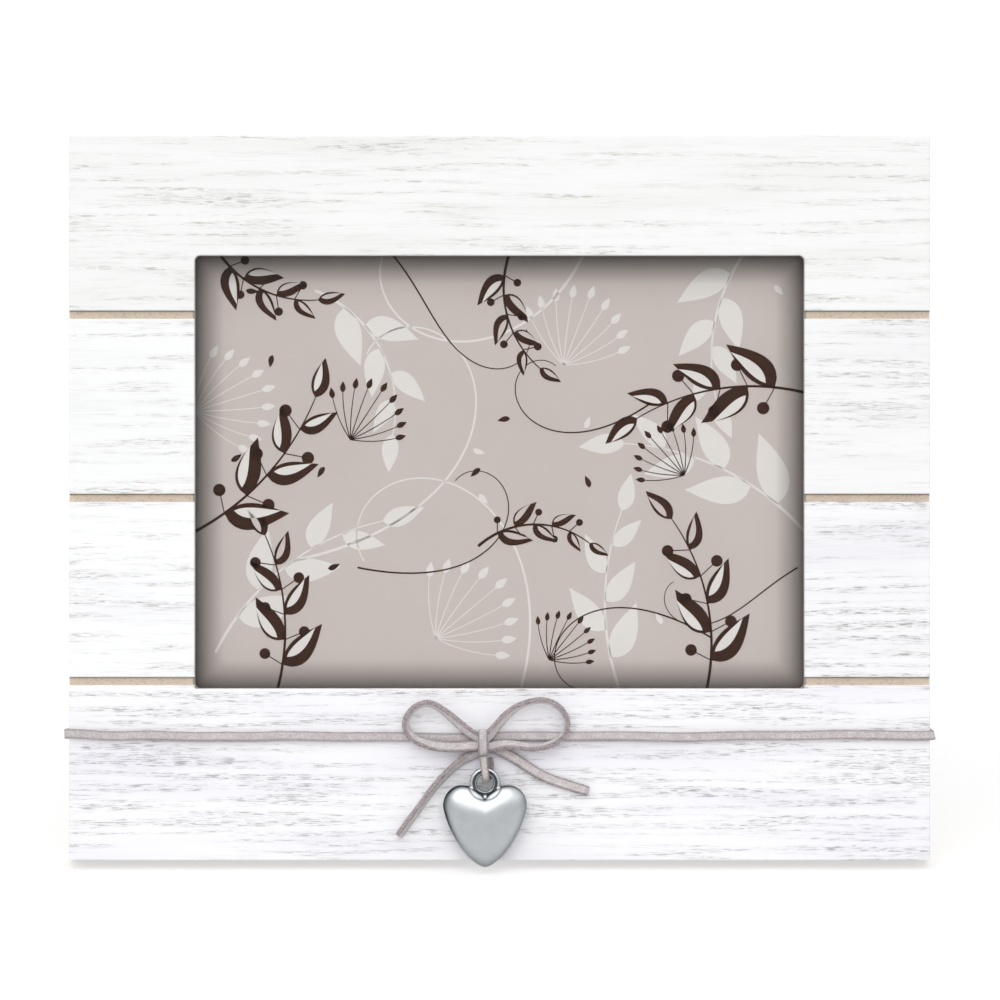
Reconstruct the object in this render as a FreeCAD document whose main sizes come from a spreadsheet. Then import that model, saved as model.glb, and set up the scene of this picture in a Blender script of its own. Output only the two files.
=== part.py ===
"""A landscape picture frame of four white-washed boards, with a cord bow and a heart charm.

Everything is drawn in the board's own axes: X to the right, Y from the front face into the
board, Z up from its bottom edge. One placement then leans the board back on its easel leg,
so that it stands on its rear bottom edge and on the foot of the leg.
"""
import FreeCAD, Part
import math
import os
import re
import Sketcher
from types import SimpleNamespace
from FreeCAD import Placement, Rotation, Vector

X_AXIS = Vector(1, 0, 0)
Y_AXIS = Vector(0, 1, 0)
Z_AXIS = Vector(0, 0, 1)

SIZES = [
    ("print_width", 177.8, "the print, seven inches"),
    ("print_height", 127.0, "the print, five inches"),
    ("side_lip", 3.4, "how far the sides of the window cover the print"),
    ("end_lip", 2.75, "how far the top and bottom of the window cover the print"),
    ("side_rail", 35.15, "board beside the window"),
    ("top_rail", 33.6, "board above the window"),
    ("bottom_rail", 48.1, "board below the window"),
    ("top_notch", 15.475, "how far the window cuts into the top plank"),
    ("bottom_notch", 0.975, "how far the window cuts into the bottom plank"),
    ("plank_thick", 2.0, "thickness of the front planks"),
    ("plank_gap", 2.3, "gap between two planks"),
    ("core_thick", 12.0, "thickness of the board behind the planks"),
    ("edge_round", 0.4, "rounding of sanded edges"),
    ("window_round", 1.5, "corner radius of the window"),
    ("pane_clear", 0.5, "room round the pane in its rebate"),
    ("glass_thick", 2.0, "glass pane"),
    ("glass_bevel", 0.25, "ground edge of the pane"),
    ("print_thick", 0.3, "printed insert"),
    ("card_thick", 1.0, "backing card"),
    ("panel_thick", 2.7, "back panel"),
    ("lean_angle", 12.0, "how far the frame leans back"),
    ("button_thick", 0.9, "turn button, sheet steel"),
    ("button_eye_radius", 4.6, "turn button round its screw"),
    ("button_nose_radius", 2.4, "nose of the turn button"),
    ("button_reach", 13.5, "from the screw to the middle of the nose"),
    ("button_inset", 7.0, "from the edge of the rebate to the screw"),
    ("button_spread", 55.0, "from the middle of the frame to the screw"),
    ("screw_shank_radius", 1.4, "screw of a turn button"),
    ("screw_head_radius", 3.0, "screw of a turn button"),
    ("screw_head_height", 1.7, "screw of a turn button"),
    ("screw_depth", 7.0, "length of the screw in the board"),
    ("recess_width", 0.7, "arm of the cross recess"),
    ("recess_length", 3.2, "span of the cross recess"),
    ("recess_depth", 0.9, "depth of the cross recess"),
    ("turn_fit", 0.05, "running clearance on a radius"),
    ("drive_fit", 0.02, "clearance of a shank driven into a hole"),
    ("hinge_width", 30.0, "easel hinge"),
    ("hinge_drop", 22.35, "hinge axis below the top of the back panel"),
    ("hinge_lift", 0.3, "gap between the knuckles and the panel"),
    ("leaf_thick", 0.8, "hinge leaves, sheet steel"),
    ("leaf_height", 16.0, "hinge leaves, from the axis"),
    ("leaf_corner", 2.5, "corner radius of the hinge leaves"),
    ("moving_leaf_width", 24.0, "the leaf on the leg"),
    ("knuckle_width", 12.0, "middle knuckle"),
    ("knuckle_gap", 0.15, "gap beside the middle knuckle"),
    ("knuckle_room", 0.75, "gap round a knuckle, to the leaves and the leg"),
    ("pin_radius", 0.8, "hinge pin"),
    ("pin_end", 0.5, "pin end past the knuckle"),
    ("heel_height", 5.5, "stop heel of the moving leaf"),
    ("heel_gap", 0.05, "gap between the heel and the fixed leaf"),
    ("rivet_shank_radius", 1.1, "hinge rivets"),
    ("rivet_head_radius", 2.2, "hinge rivets"),
    ("rivet_head_height", 0.9, "hinge rivets"),
    ("rivet_spread", 7.5, "rivet from the middle of the hinge"),
    ("rivet_level", 10.5, "rivet from the hinge axis"),
    ("rivet_web", 0.4, "wood left under the end of a rivet"),
    ("open_angle", 23.0, "angle between the open leg and the board"),
    ("leg_thick", 2.5, "easel leg"),
    ("leg_top_width", 32.0, "easel leg at the hinge"),
    ("leg_waist_width", 26.0, "easel leg at its narrowest"),
    ("leg_foot_width", 52.0, "easel leg at the table"),
    ("leg_corner", 3.0, "corner radius of the leg"),
    ("hanger_width", 44.0, "sawtooth hanger"),
    ("hanger_height", 7.5, "sawtooth hanger"),
    ("hanger_thick", 0.8, "sawtooth hanger"),
    ("hanger_tab", 7.5, "flat end of the hanger"),
    ("hanger_ramp", 2.0, "bend between the end and the middle of the hanger"),
    ("hanger_lift", 1.9, "how far the toothed middle stands off the board"),
    ("hanger_inset", 7.5, "hanger below the top edge"),
    ("tooth_pitch", 2.4, "teeth of the hanger"),
    ("tooth_depth", 1.6, "teeth of the hanger"),
    ("nail_shank_radius", 0.7, "hanger nails"),
    ("nail_head_radius", 1.7, "hanger nails"),
    ("nail_head_height", 0.7, "hanger nails"),
    ("nail_depth", 8.0, "length of a nail in the board"),
    ("cord_width", 2.65, "flat suede cord"),
    ("cord_thick", 1.35, "flat suede cord"),
    ("band_level", 35.2, "middle of the cord band above the bottom edge"),
    ("band_tail", 21.0, "end of the band on the back, from the side edge"),
    ("staple_wire", 0.7, "square wire of the staples"),
    ("staple_span", 5.0, "length of a staple's crown"),
    ("staple_depth", 5.0, "length of a staple's legs in the board"),
    ("staple_inset", 15.0, "staple from the side edge"),
    ("knot_middle", -4.6, "wrap of the knot, from the middle of the frame"),
    ("knot_top", 36.75, "top of the wrap above the bottom edge"),
    ("knot_bottom", 29.5, "bottom of the wrap above the bottom edge"),
    ("knot_width", 2.75, "wrap of the knot"),
    ("knot_depth", 5.5, "how far the wrap stands out from the planks"),
    ("knot_bend", 1.3, "bend of the wrap at its top and bottom"),
    ("knot_soft", 0.35, "soft side edges of the wrap"),
    ("band_room", 0.1, "room round the band under the wrap"),
    ("charm_middle", -4.05, "charm from the middle of the frame"),
    ("charm_clear", 0.4, "back of the charm in front of the planks"),
    ("heart_half_width", 11.8, "half the width of the heart"),
    ("heart_thick", 7.2, "thickness of the heart at its fullest"),
    ("heart_level", 15.45, "widest level of the heart above the bottom edge"),
    ("lobe_height", 5.8, "top of a lobe above the widest level"),
    ("lobe_offset", 6.6, "top of a lobe from the middle of the heart"),
    ("cleft_height", 2.0, "bottom of the cleft above the widest level"),
    ("tip_depth", 17.15, "tip of the heart below the widest level"),
    ("ring_level", 21.85, "middle of the ring above the bottom edge"),
    ("ring_outer_radius", 4.35, "ring of the charm"),
    ("ring_inner_radius", 2.3, "ring of the charm"),
    ("ring_depth", 2.1, "ring of the charm, front to back"),
    ("nub_radius", 0.6, "casting nubs where the ring meets the lobes"),
    ("spur_radius", 1.1, "casting spur under the ring"),
    ("strap_width", 1.9, "cord in the ring, drawn narrow"),
    ("strap_thick", 1.2, "cord in the ring, drawn thin"),
    ("strap_room", 0.65, "room between the ring and the cord"),
    ("strap_gap", 0.3, "gap between the cord loop and the knot"),
    ("strap_top_depth", 4.6, "front strand at the knot, in front of the planks"),
    ("overrun", 5.0, "how far a cutting tool runs past what it cuts"),
]

# Shares of the sizes that they follow, and the powers of the heart's curves.
NOTCH_SHARE = 0.5
RIM_SHARE = 0.3
POINT_SHARE = 0.35
PIN_END_SHARE = 0.45
WAIST_SHARE = 0.35
ARC_SHARE = 0.45
RIBBON_GAP_SHARE = 0.04
FLANK_POWER = 1.6
TIP_POWER = 0.72
PUFF_POWER = 2.6
SLICES = 9
SLICE_POINTS = 12
LAST_SLICE = math.radians(82)
LOFT_DEGREE = 3
NUB_ANGLE = 24

doc = FreeCAD.newDocument("HeartCharmFrame")
sheet = doc.addObject("Spreadsheet::Sheet", "Sizes")
for row, (alias, value, note) in enumerate(SIZES, 1):
    sheet.set(f"A{row}", note)
    sheet.set(f"B{row}", str(value))
    sheet.setAlias(f"B{row}", alias)
doc.recompute()
d = SimpleNamespace(**{alias: float(sheet.get(alias)) for alias, value, note in SIZES})

# Lengths that follow from the driving sizes, as expressions and as numbers.
WINDOW_WIDTH = "(print_width - 2 * side_lip)"
WINDOW_HEIGHT = "(print_height - 2 * end_lip)"
WINDOW_TOP = f"(bottom_rail + {WINDOW_HEIGHT})"
BOARD_WIDTH = f"({WINDOW_WIDTH} + 2 * side_rail)"
BOARD_HEIGHT = f"({WINDOW_TOP} + top_rail)"
BOARD_DEPTH = "(plank_thick + core_thick)"
FILLING = "(glass_thick + print_thick + card_thick + panel_thick)"
PRINT_BOTTOM = "(bottom_rail - end_lip)"
PRINT_TOP = f"({PRINT_BOTTOM} + print_height)"
HINGE_HEIGHT = f"({PRINT_TOP} - hinge_drop)"
SIDE_LOW = "(bottom_rail + bottom_notch + plank_gap)"
SIDE_HIGH = f"({WINDOW_TOP} - top_notch - plank_gap)"
SIDE_HEIGHT = f"(({SIDE_HIGH} - {SIDE_LOW} - plank_gap) / 2)"

window_width = d.print_width - 2 * d.side_lip
window_top = d.bottom_rail + d.print_height - 2 * d.end_lip
board_width = window_width + 2 * d.side_rail
board_height = window_top + d.top_rail
board_depth = d.plank_thick + d.core_thick
knuckle_radius = d.pin_radius + d.turn_fit + d.leaf_thick
axis_depth = board_depth + d.hinge_lift + knuckle_radius
print_bottom = d.bottom_rail - d.end_lip
rebate_bottom = print_bottom - d.pane_clear
rebate_top = print_bottom + d.print_height + d.pane_clear
hinge_height = print_bottom + d.print_height - d.hinge_drop
hanger_level = board_height - d.hanger_inset
charm_plane = -(d.charm_clear + d.heart_thick / 2)


def cells(text):
    """An expression in which each alias reads its cell."""
    names = {alias for alias, value, note in SIZES}
    return re.sub(r"[a-z_]+", lambda m: "Sizes." + m[0] if m[0] in names else m[0], text)


# The leaning board: its rear bottom edge is on the table, and the middle of its
# footprint, from the charm to the foot of the leg, is at the origin.
lean = math.radians(d.lean_angle)
splay = math.radians(d.open_angle - d.lean_angle)
axis_rise = (
    (board_depth - axis_depth) * math.sin(lean) + hinge_height * math.cos(lean)
)
leg_length = axis_rise / math.cos(splay)
front_reach = (
    -(d.charm_clear + d.heart_thick) * math.cos(lean)
    + (d.heart_level - d.tip_depth / 2) * math.sin(lean)
)
foot_reach = (
    axis_depth * math.cos(lean)
    + hinge_height * math.sin(lean)
    + leg_length * math.sin(splay)
    + (knuckle_radius - d.leaf_thick) * math.cos(splay)
)
BOARD = Placement(
    Vector(0, -(front_reach + foot_reach) / 2, board_depth * math.sin(lean)),
    Rotation(X_AXIS, -d.lean_angle),
)
HINGE = Placement(Vector(0, axis_depth, hinge_height), Rotation(X_AXIS, d.open_angle))
LEG = BOARD * HINGE


def new_body(label, place=BOARD):
    body = doc.addObject("PartDesign::Body", label)
    body.Label = label
    body.Placement = place
    return body


def new_feature(label, shape, place=BOARD):
    feature = doc.addObject("Part::Feature", label)
    feature.Label = label
    feature.Shape = shape
    feature.Placement = place
    return feature


def new_sketch(body, role, offset="0"):
    sketch = body.newObject("Sketcher::SketchObject", body.Label + "_sketch")
    plane = next(f for f in body.Origin.OriginFeatures if f.Role == role)
    sketch.AttachmentSupport = [(plane, "")]
    sketch.MapMode = "FlatFace"
    sketch.setExpression("AttachmentOffset.Base.z", cells(offset))
    return sketch


def value_of(sketch, expression):
    return float(sketch.evalExpression(cells(expression)))


def bind_point(sketch, geometry, point, across, up):
    for kind, expression in (("DistanceX", across), ("DistanceY", up)):
        value = value_of(sketch, expression)
        index = sketch.addConstraint(
            Sketcher.Constraint(kind, -1, 1, geometry, point, value)
        )
        sketch.setExpression(f"Constraints[{index}]", cells(expression))


def draw_outline(sketch, corners):
    """A closed outline of straight lines, each corner given as two expressions."""
    first = sketch.GeometryCount
    count = len(corners)
    spots = [Vector(value_of(sketch, a), value_of(sketch, b), 0) for a, b in corners]
    for i in range(count):
        sketch.addGeometry(Part.LineSegment(spots[i], spots[(i + 1) % count]), False)
    for i in range(count):
        joined = first + (i + 1) % count
        sketch.addConstraint(Sketcher.Constraint("Coincident", first + i, 2, joined, 1))
    for i, (across, up) in enumerate(corners):
        bind_point(sketch, first + i, 1, across, up)


def draw_rectangle(sketch, left, right, bottom, top):
    draw_outline(sketch, [(left, bottom), (right, bottom), (right, top), (left, top)])


def draw_circle(sketch, across, up, radius):
    centre = Vector(value_of(sketch, across), value_of(sketch, up), 0)
    size = value_of(sketch, radius)
    index = sketch.addGeometry(Part.Circle(centre, Z_AXIS, size), False)
    bind_point(sketch, index, 3, across, up)
    bound = sketch.addConstraint(Sketcher.Constraint("Radius", index, size))
    sketch.setExpression(f"Constraints[{bound}]", cells(radius))


def pad(body, sketch, length, reverse=False):
    feature = body.newObject("PartDesign::Pad", body.Label + "_pad")
    feature.Profile = sketch
    feature.setExpression("Length", cells(length))
    feature.Reversed = reverse
    doc.recompute()
    return feature


def pocket(body, sketch, length, reverse=False):
    before = body.Shape.Volume
    feature = body.newObject("PartDesign::Pocket", body.Label + "_pocket")
    feature.Profile = sketch
    feature.setExpression("Length", cells(length))
    feature.Reversed = reverse
    doc.recompute()
    if not body.Shape.Volume < before:
        raise RuntimeError(f"a pocket of {body.Label} cuts nothing")
    return feature


def fillet(body, radius, wanted):
    """Rounds the edges of the body that the test 'wanted' picks."""
    shape = body.Shape.copy()
    shape.Placement = Placement()
    names = [f"Edge{i}" for i, edge in enumerate(shape.Edges, 1) if wanted(edge)]
    if not names:
        raise RuntimeError(f"a fillet of {body.Label} finds no edge")
    base = body.Tip
    feature = body.newObject("PartDesign::Fillet", body.Label + "_fillet")
    feature.Base = (base, names)
    feature.setExpression("Radius", cells(radius))
    doc.recompute()
    return feature


def near(a, b):
    return abs(a - b) < d.drive_fit / 2


def lies_at(edge, axis, level):
    """True where the whole edge lies at one level of an axis, 'X', 'Y' or 'Z'."""
    box = edge.BoundBox
    return near(getattr(box, axis + "Min"), level) and near(getattr(box, axis + "Max"), level)


def runs_along_depth(edge, x, z):
    return lies_at(edge, "X", x) and lies_at(edge, "Z", z)


# Front planks in four rows, each a low and a high level. The window notches the top and
# the bottom plank and parts the two rows between them.
def make_plank(label, row, left, right, notch=None):
    body = new_body(label)
    sketch = new_sketch(body, "XZ_Plane")
    draw_rectangle(sketch, left, right, *row)
    pad(body, sketch, "plank_thick", reverse=True)
    if notch:
        cut = new_sketch(body, "XZ_Plane")
        draw_rectangle(cut, f"-{WINDOW_WIDTH} / 2", f"{WINDOW_WIDTH} / 2", *notch)
        pocket(body, cut, "plank_thick")
        low, high = [value_of(cut, level) for level in notch]
        radius = min(d.window_round, (high - low) * NOTCH_SHARE)
        corner = window_width / 2
        fillet(body, str(radius), lambda e: any(
            runs_along_depth(e, x, z)
            for x in (-corner, corner) for z in (d.bottom_rail, window_top)))
    fillet(body, "edge_round", lambda e: lies_at(e, "Y", 0))
    return body


sides = {
    "left": (f"-{BOARD_WIDTH} / 2", f"-{WINDOW_WIDTH} / 2"),
    "right": (f"{WINDOW_WIDTH} / 2", f"{BOARD_WIDTH} / 2"),
}
full_width = (f"-{BOARD_WIDTH} / 2", f"{BOARD_WIDTH} / 2")
bottom_top = "bottom_rail + bottom_notch"
make_plank("plank_bottom", ("0", bottom_top), *full_width, notch=("bottom_rail", bottom_top))
for side, (left, right) in sides.items():
    make_plank(f"plank_lower_{side}", (SIDE_LOW, f"{SIDE_LOW} + {SIDE_HEIGHT}"), left, right)
    make_plank(f"plank_upper_{side}", (f"{SIDE_HIGH} - {SIDE_HEIGHT}", SIDE_HIGH), left, right)
top_bottom = f"{WINDOW_TOP} - top_notch"
make_plank("plank_top", (top_bottom, BOARD_HEIGHT), *full_width, notch=(top_bottom, WINDOW_TOP))


# Places of the rear hardware, as pairs of X and Z on the back of the board.
button_spots = {
    "button_upper_left": (-d.button_spread, rebate_top + d.button_inset, -90),
    "button_upper_right": (d.button_spread, rebate_top + d.button_inset, -90),
    "button_lower_left": (-d.button_spread, rebate_bottom - d.button_inset, 90),
    "button_lower_right": (d.button_spread, rebate_bottom - d.button_inset, 90),
}
nail_x = (d.hanger_width - d.hanger_tab) / 2
nail_spots = [(-nail_x, hanger_level), (nail_x, hanger_level)]
staple_x = board_width / 2 - d.staple_inset


# Core board: window, rebate from behind, and the holes of what is driven into it.
core = new_body("core_board")
outline = new_sketch(core, "XZ_Plane", "-plank_thick")
draw_rectangle(outline, *full_width, "0", BOARD_HEIGHT)
pad(core, outline, "core_thick", reverse=True)
window = new_sketch(core, "XZ_Plane", "-plank_thick")
draw_rectangle(
    window, f"-{WINDOW_WIDTH} / 2", f"{WINDOW_WIDTH} / 2", "bottom_rail", WINDOW_TOP)
pocket(core, window, "core_thick")
fillet(core, "window_round", lambda e: any(
    runs_along_depth(e, x, z)
    for x in (-window_width / 2, window_width / 2)
    for z in (d.bottom_rail, window_top)))
rebate = new_sketch(core, "XZ_Plane", f"-({BOARD_DEPTH} - {FILLING})")
draw_rectangle(
    rebate,
    "-print_width / 2 - pane_clear",
    "print_width / 2 + pane_clear",
    f"{PRINT_BOTTOM} - pane_clear",
    f"{PRINT_TOP} + pane_clear",
)
pocket(core, rebate, FILLING)
for spots, radius, depth in (
    ([(x, z) for x, z, turn in button_spots.values()], "screw_shank_radius", "screw_depth"),
    (nail_spots, "nail_shank_radius", "nail_depth"),
):
    holes = new_sketch(core, "XZ_Plane", f"-{BOARD_DEPTH}")
    for x, z in spots:
        draw_circle(holes, str(x), str(z), f"{radius} + drive_fit")
    pocket(core, holes, depth, reverse=True)
slots = new_sketch(core, "XZ_Plane", f"-{BOARD_DEPTH}")
half_wire = "(staple_wire / 2 + drive_fit)"
leg_offset = "(staple_span - staple_wire) / 2"
for side in ("-", ""):
    for level in (f"band_level - {leg_offset}", f"band_level + {leg_offset}"):
        spot = f"{side}({BOARD_WIDTH} / 2 - staple_inset)"
        draw_rectangle(
            slots,
            f"{spot} - {half_wire}",
            f"{spot} + {half_wire}",
            f"{level} - {half_wire}",
            f"{level} + {half_wire}",
        )
pocket(core, slots, "staple_depth + drive_fit", reverse=True)
fillet(core, "edge_round", lambda e: lies_at(e, "Y", board_depth) and (
    lies_at(e, "Z", 0) or lies_at(e, "Z", board_height)
    or lies_at(e, "X", -board_width / 2) or lies_at(e, "X", board_width / 2)))


# What lies in the rebate, from the front: pane, print, card and panel.
def make_sheet(label, front, thick):
    body = new_body(label)
    sketch = new_sketch(body, "XZ_Plane", f"-({front})")
    half = "print_width / 2"
    draw_rectangle(sketch, f"-{half}", half, PRINT_BOTTOM, PRINT_TOP)
    pad(body, sketch, thick, reverse=True)
    return body


FRONT = f"{BOARD_DEPTH} - {FILLING}"
pane = make_sheet("glass_pane", FRONT, "glass_thick")
fillet(pane, "glass_bevel", lambda e: (
    lies_at(e, "Y", board_depth - d.panel_thick - d.card_thick - d.print_thick)))
make_sheet("photo_insert", f"{FRONT} + glass_thick", "print_thick")
make_sheet("backing_card", f"{FRONT} + glass_thick + print_thick", "card_thick")
panel = make_sheet("back_panel", f"{BOARD_DEPTH} - panel_thick", "panel_thick")
rivet_holes = new_sketch(panel, "XZ_Plane", f"-{BOARD_DEPTH}")
for x in ("-rivet_spread", "rivet_spread"):
    draw_circle(
        rivet_holes, x, f"{HINGE_HEIGHT} + rivet_level", "rivet_shank_radius + drive_fit")
pocket(panel, rivet_holes, "panel_thick - rivet_web", reverse=True)


# Turned fasteners: the head's underside is at Y = 0, the shank points to -Y.
def fastener(shank_radius, shank_length, head_radius, head_height):
    rim = Vector(head_radius, head_height * RIM_SHARE, 0)
    crown = Vector(0, head_height, 0)
    rise = crown.y - rim.y
    dome = (head_radius ** 2 + rise ** 2) / (2 * rise)
    dome_middle = Vector(0, head_height - dome, 0)
    shoulder = ((rim - dome_middle).normalize() + Y_AXIS).normalize()
    end = shank_radius * (1 - POINT_SHARE)
    straight = [
        crown,
        Vector(0, -shank_length, 0),
        Vector(end, -shank_length, 0),
        Vector(shank_radius, -shank_length + shank_radius - end, 0),
        Vector(shank_radius, 0, 0),
        Vector(head_radius, 0, 0),
        rim,
    ]
    edges = [Part.makeLine(a, b) for a, b in zip(straight, straight[1:])]
    edges.append(Part.Arc(rim, dome_middle + shoulder * dome, crown).toShape())
    face = Part.Face(Part.Wire(edges))
    return face.revolve(Vector(0, 0, 0), Y_AXIS, 360)


def cross_recess():
    arms = []
    for length, height in ((d.recess_length, d.recess_width), (d.recess_width, d.recess_length)):
        corner = Vector(-length / 2, d.screw_head_height - d.recess_depth, -height / 2)
        arms.append(Part.makeBox(length, d.recess_depth + d.overrun, height, corner))
    return arms[0].fuse(arms[1])


def group(label, solids, place=BOARD):
    return new_feature(label, Part.makeCompound(solids), place)


screw = fastener(
    d.screw_shank_radius, d.screw_depth + d.button_thick, d.screw_head_radius,
    d.screw_head_height).cut(cross_recess())
group("button_screws", [
    screw.translated(Vector(x, board_depth + d.button_thick, z))
    for x, z, turn in button_spots.values()])


# Turn buttons: a round eye drawn out to a narrow nose that lies on the back panel.
def make_button(label, x, z, turn):
    eye = d.button_eye_radius
    nose = d.button_nose_radius
    tilt = math.acos((eye - nose) / d.button_reach)
    up = Vector(math.cos(tilt), 0, math.sin(tilt))
    down = Vector(math.cos(tilt), 0, -math.sin(tilt))
    tip = Vector(d.button_reach, 0, 0)
    edges = [
        Part.Arc(up * eye, Vector(-eye, 0, 0), down * eye).toShape(),
        Part.makeLine(down * eye, tip + down * nose),
        Part.Arc(tip + down * nose, tip + X_AXIS * nose, tip + up * nose).toShape(),
        Part.makeLine(tip + up * nose, up * eye),
    ]
    plate = Part.Face(Part.Wire(edges)).extrude(Vector(0, d.button_thick, 0))
    bore = Part.makeCylinder(
        d.screw_shank_radius + d.turn_fit, d.button_thick, Vector(0, 0, 0), Y_AXIS)
    place = Placement(Vector(x, board_depth, z), Rotation(Y_AXIS, -turn))
    new_feature(label, plate.cut(bore), BOARD * place)


for label, (x, z, turn) in button_spots.items():
    make_button(label, x, z, turn)


# Easel hinge, drawn about its own axis with the leg folded flat along the board.
def box_between(left, right, front, back, bottom, top):
    return Part.makeBox(
        right - left, back - front, top - bottom, Vector(left, front, bottom))


def rod(radius, left, right):
    return Part.makeCylinder(radius, right - left, Vector(left, 0, 0), X_AXIS)


def round_corners(shape, radius, level):
    """Rounds the edges that cross the sheet at one level of Z, at its outer corners."""
    edges = [e for e in shape.Edges if lies_at(e, "Z", level) and e.BoundBox.XLength < e.Length / 2]
    return shape.makeFillet(radius, edges)


def rivet_bores(level):
    length = d.leaf_thick + d.leg_thick + d.overrun
    return [
        Part.makeCylinder(
            d.rivet_shank_radius + d.drive_fit, 2 * length, Vector(x, -length, level), Y_AXIS)
        for x in (-d.rivet_spread, d.rivet_spread)]


half_hinge = d.hinge_width / 2
half_knuckle = d.knuckle_width / 2
panel_face = -(knuckle_radius + d.hinge_lift)
clear_radius = knuckle_radius + d.knuckle_room
fixed_leaf = round_corners(
    box_between(
        -half_hinge, half_hinge, panel_face, panel_face + d.leaf_thick, 0, d.leaf_height),
    d.leaf_corner, d.leaf_height)
cutout = half_knuckle + d.knuckle_gap
for left, right in ((-half_hinge, -cutout), (cutout, half_hinge)):
    fixed_leaf = fixed_leaf.fuse(rod(knuckle_radius, left, right))
fixed_leaf = fixed_leaf.cut(box_between(
    -cutout, cutout, -clear_radius, clear_radius, -clear_radius, clear_radius))
fixed_leaf = fixed_leaf.cut(rod(d.pin_radius + d.drive_fit, -half_hinge, half_hinge))
fixed_leaf = fixed_leaf.cut(rivet_bores(d.rivet_level)).removeSplitter()
AXIS = BOARD * Placement(Vector(0, axis_depth, hinge_height), Rotation())
new_feature("hinge_fixed_leaf", fixed_leaf, AXIS)

leaf_back = knuckle_radius
leaf_front = knuckle_radius - d.leaf_thick
half_leaf = d.moving_leaf_width / 2
moving_leaf = round_corners(
    box_between(-half_leaf, half_leaf, leaf_front, leaf_back, -d.leaf_height, -clear_radius),
    d.leaf_corner, -d.leaf_height)
moving_leaf = moving_leaf.fuse(
    box_between(-half_knuckle, half_knuckle, leaf_front, leaf_back, -clear_radius, 0))
heel_front = panel_face + d.leaf_thick + d.heel_gap
heel = box_between(
    -half_knuckle, half_knuckle, heel_front, heel_front + d.leaf_thick, 0, d.heel_height)
heel.rotate(Vector(0, 0, 0), X_AXIS, -d.open_angle)
moving_leaf = moving_leaf.fuse([heel, rod(knuckle_radius, -half_knuckle, half_knuckle)])
moving_leaf = moving_leaf.cut(rod(d.pin_radius + d.turn_fit, -half_hinge, half_hinge))
moving_leaf = moving_leaf.cut(rivet_bores(-d.rivet_level)).removeSplitter()
new_feature("hinge_moving_leaf", moving_leaf, LEG)

pin_reach = half_hinge + d.pin_end
pin = rod(d.pin_radius, -pin_reach, pin_reach)
rims = [e for e in pin.Edges if lies_at(e, "X", -pin_reach) or lies_at(e, "X", pin_reach)]
new_feature("hinge_pin", pin.makeFillet(d.pin_radius * PIN_END_SHARE, rims), AXIS)
rivet_head = (d.rivet_head_radius, d.rivet_head_height)
panel_rivet = fastener(
    d.rivet_shank_radius, d.leaf_thick + d.panel_thick - d.rivet_web, *rivet_head)
group("hinge_panel_rivets", [
    panel_rivet.translated(Vector(x, board_depth + d.leaf_thick, hinge_height + d.rivet_level))
    for x in (-d.rivet_spread, d.rivet_spread)])
leg_rivet = fastener(
    d.rivet_shank_radius, d.leaf_thick + d.leg_thick - d.rivet_web, *rivet_head)
group("hinge_leg_rivets", [
    leg_rivet.translated(Vector(x, leaf_back, -d.rivet_level))
    for x in (-d.rivet_spread, d.rivet_spread)], LEG)


# Easel leg: a flared strut whose foot is cut flat to the table.
def prism(points, along):
    """A solid from a flat polygon of vectors, drawn out along a vector."""
    return Part.Face(Part.makePolygon(points + points[:1])).extrude(along)


leg_top = -clear_radius
leg_front = leaf_front - d.leg_thick


def table_below(y):
    return -leg_length - y * math.tan(splay)


waist_level = leg_top - (leg_length + leg_top) * WAIST_SHARE
foot_level = table_below((leg_front + leaf_front) / 2)
flare = (d.leg_foot_width - d.leg_waist_width) / 2 / (waist_level - foot_level)
half_outline = [
    (d.leg_top_width / 2, leg_top),
    (d.leg_waist_width / 2, waist_level),
    (d.leg_foot_width / 2 + flare * d.overrun, foot_level - d.overrun),
]
outline = [Vector(x, leg_front, z) for x, z in half_outline]
outline += [Vector(-v.x, v.y, v.z) for v in reversed(outline)]
side_view = [
    Vector(-d.leg_foot_width, leg_front, leg_top),
    Vector(-d.leg_foot_width, leaf_front, leg_top),
    Vector(-d.leg_foot_width, leaf_front, table_below(leaf_front)),
    Vector(-d.leg_foot_width, leg_front, table_below(leg_front)),
]
leg = prism(outline, Vector(0, d.leg_thick, 0))
leg = leg.common(prism(side_view, Vector(2 * d.leg_foot_width, 0, 0)))
leg = leg.makeFillet(d.leg_corner, [
    e for e in leg.Edges
    if near(e.BoundBox.YLength, d.leg_thick) and not near(abs(e.BoundBox.ZMax), -waist_level)])
rivet_depth = leaf_front - (d.leg_thick - d.rivet_web)
for x in (-d.rivet_spread, d.rivet_spread):
    leg = leg.cut(Part.makeCylinder(
        d.rivet_shank_radius + d.drive_fit, d.leg_thick, Vector(x, rivet_depth, -d.rivet_level),
        Y_AXIS))
new_feature("easel_leg", leg, LEG)


# Sawtooth hanger: a bent strip whose toothed middle stands off the board.
half_hanger = d.hanger_width / 2
tab_end = half_hanger - d.hanger_tab
raised = tab_end - d.hanger_ramp
strip = [
    (half_hanger, board_depth),
    (tab_end, board_depth),
    (raised, board_depth + d.hanger_lift),
    (-raised, board_depth + d.hanger_lift),
    (-tab_end, board_depth),
    (-half_hanger, board_depth),
]
strip += [(x, y + d.hanger_thick) for x, y in reversed(strip)]
hanger_low = hanger_level - d.hanger_height / 2
hanger = prism([Vector(x, y, hanger_low) for x, y in strip], Vector(0, 0, d.hanger_height))
teeth = int(2 * raised / d.tooth_pitch)
for i in range(teeth):
    x = (i - (teeth - 1) / 2) * d.tooth_pitch
    notch = [
        Vector(x - d.tooth_pitch / 2, board_depth, hanger_low),
        Vector(x + d.tooth_pitch / 2, board_depth, hanger_low),
        Vector(x, board_depth, hanger_low + d.tooth_depth),
    ]
    hanger = hanger.cut(prism(notch, Vector(0, d.hanger_lift + d.hanger_thick, 0)))
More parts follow.
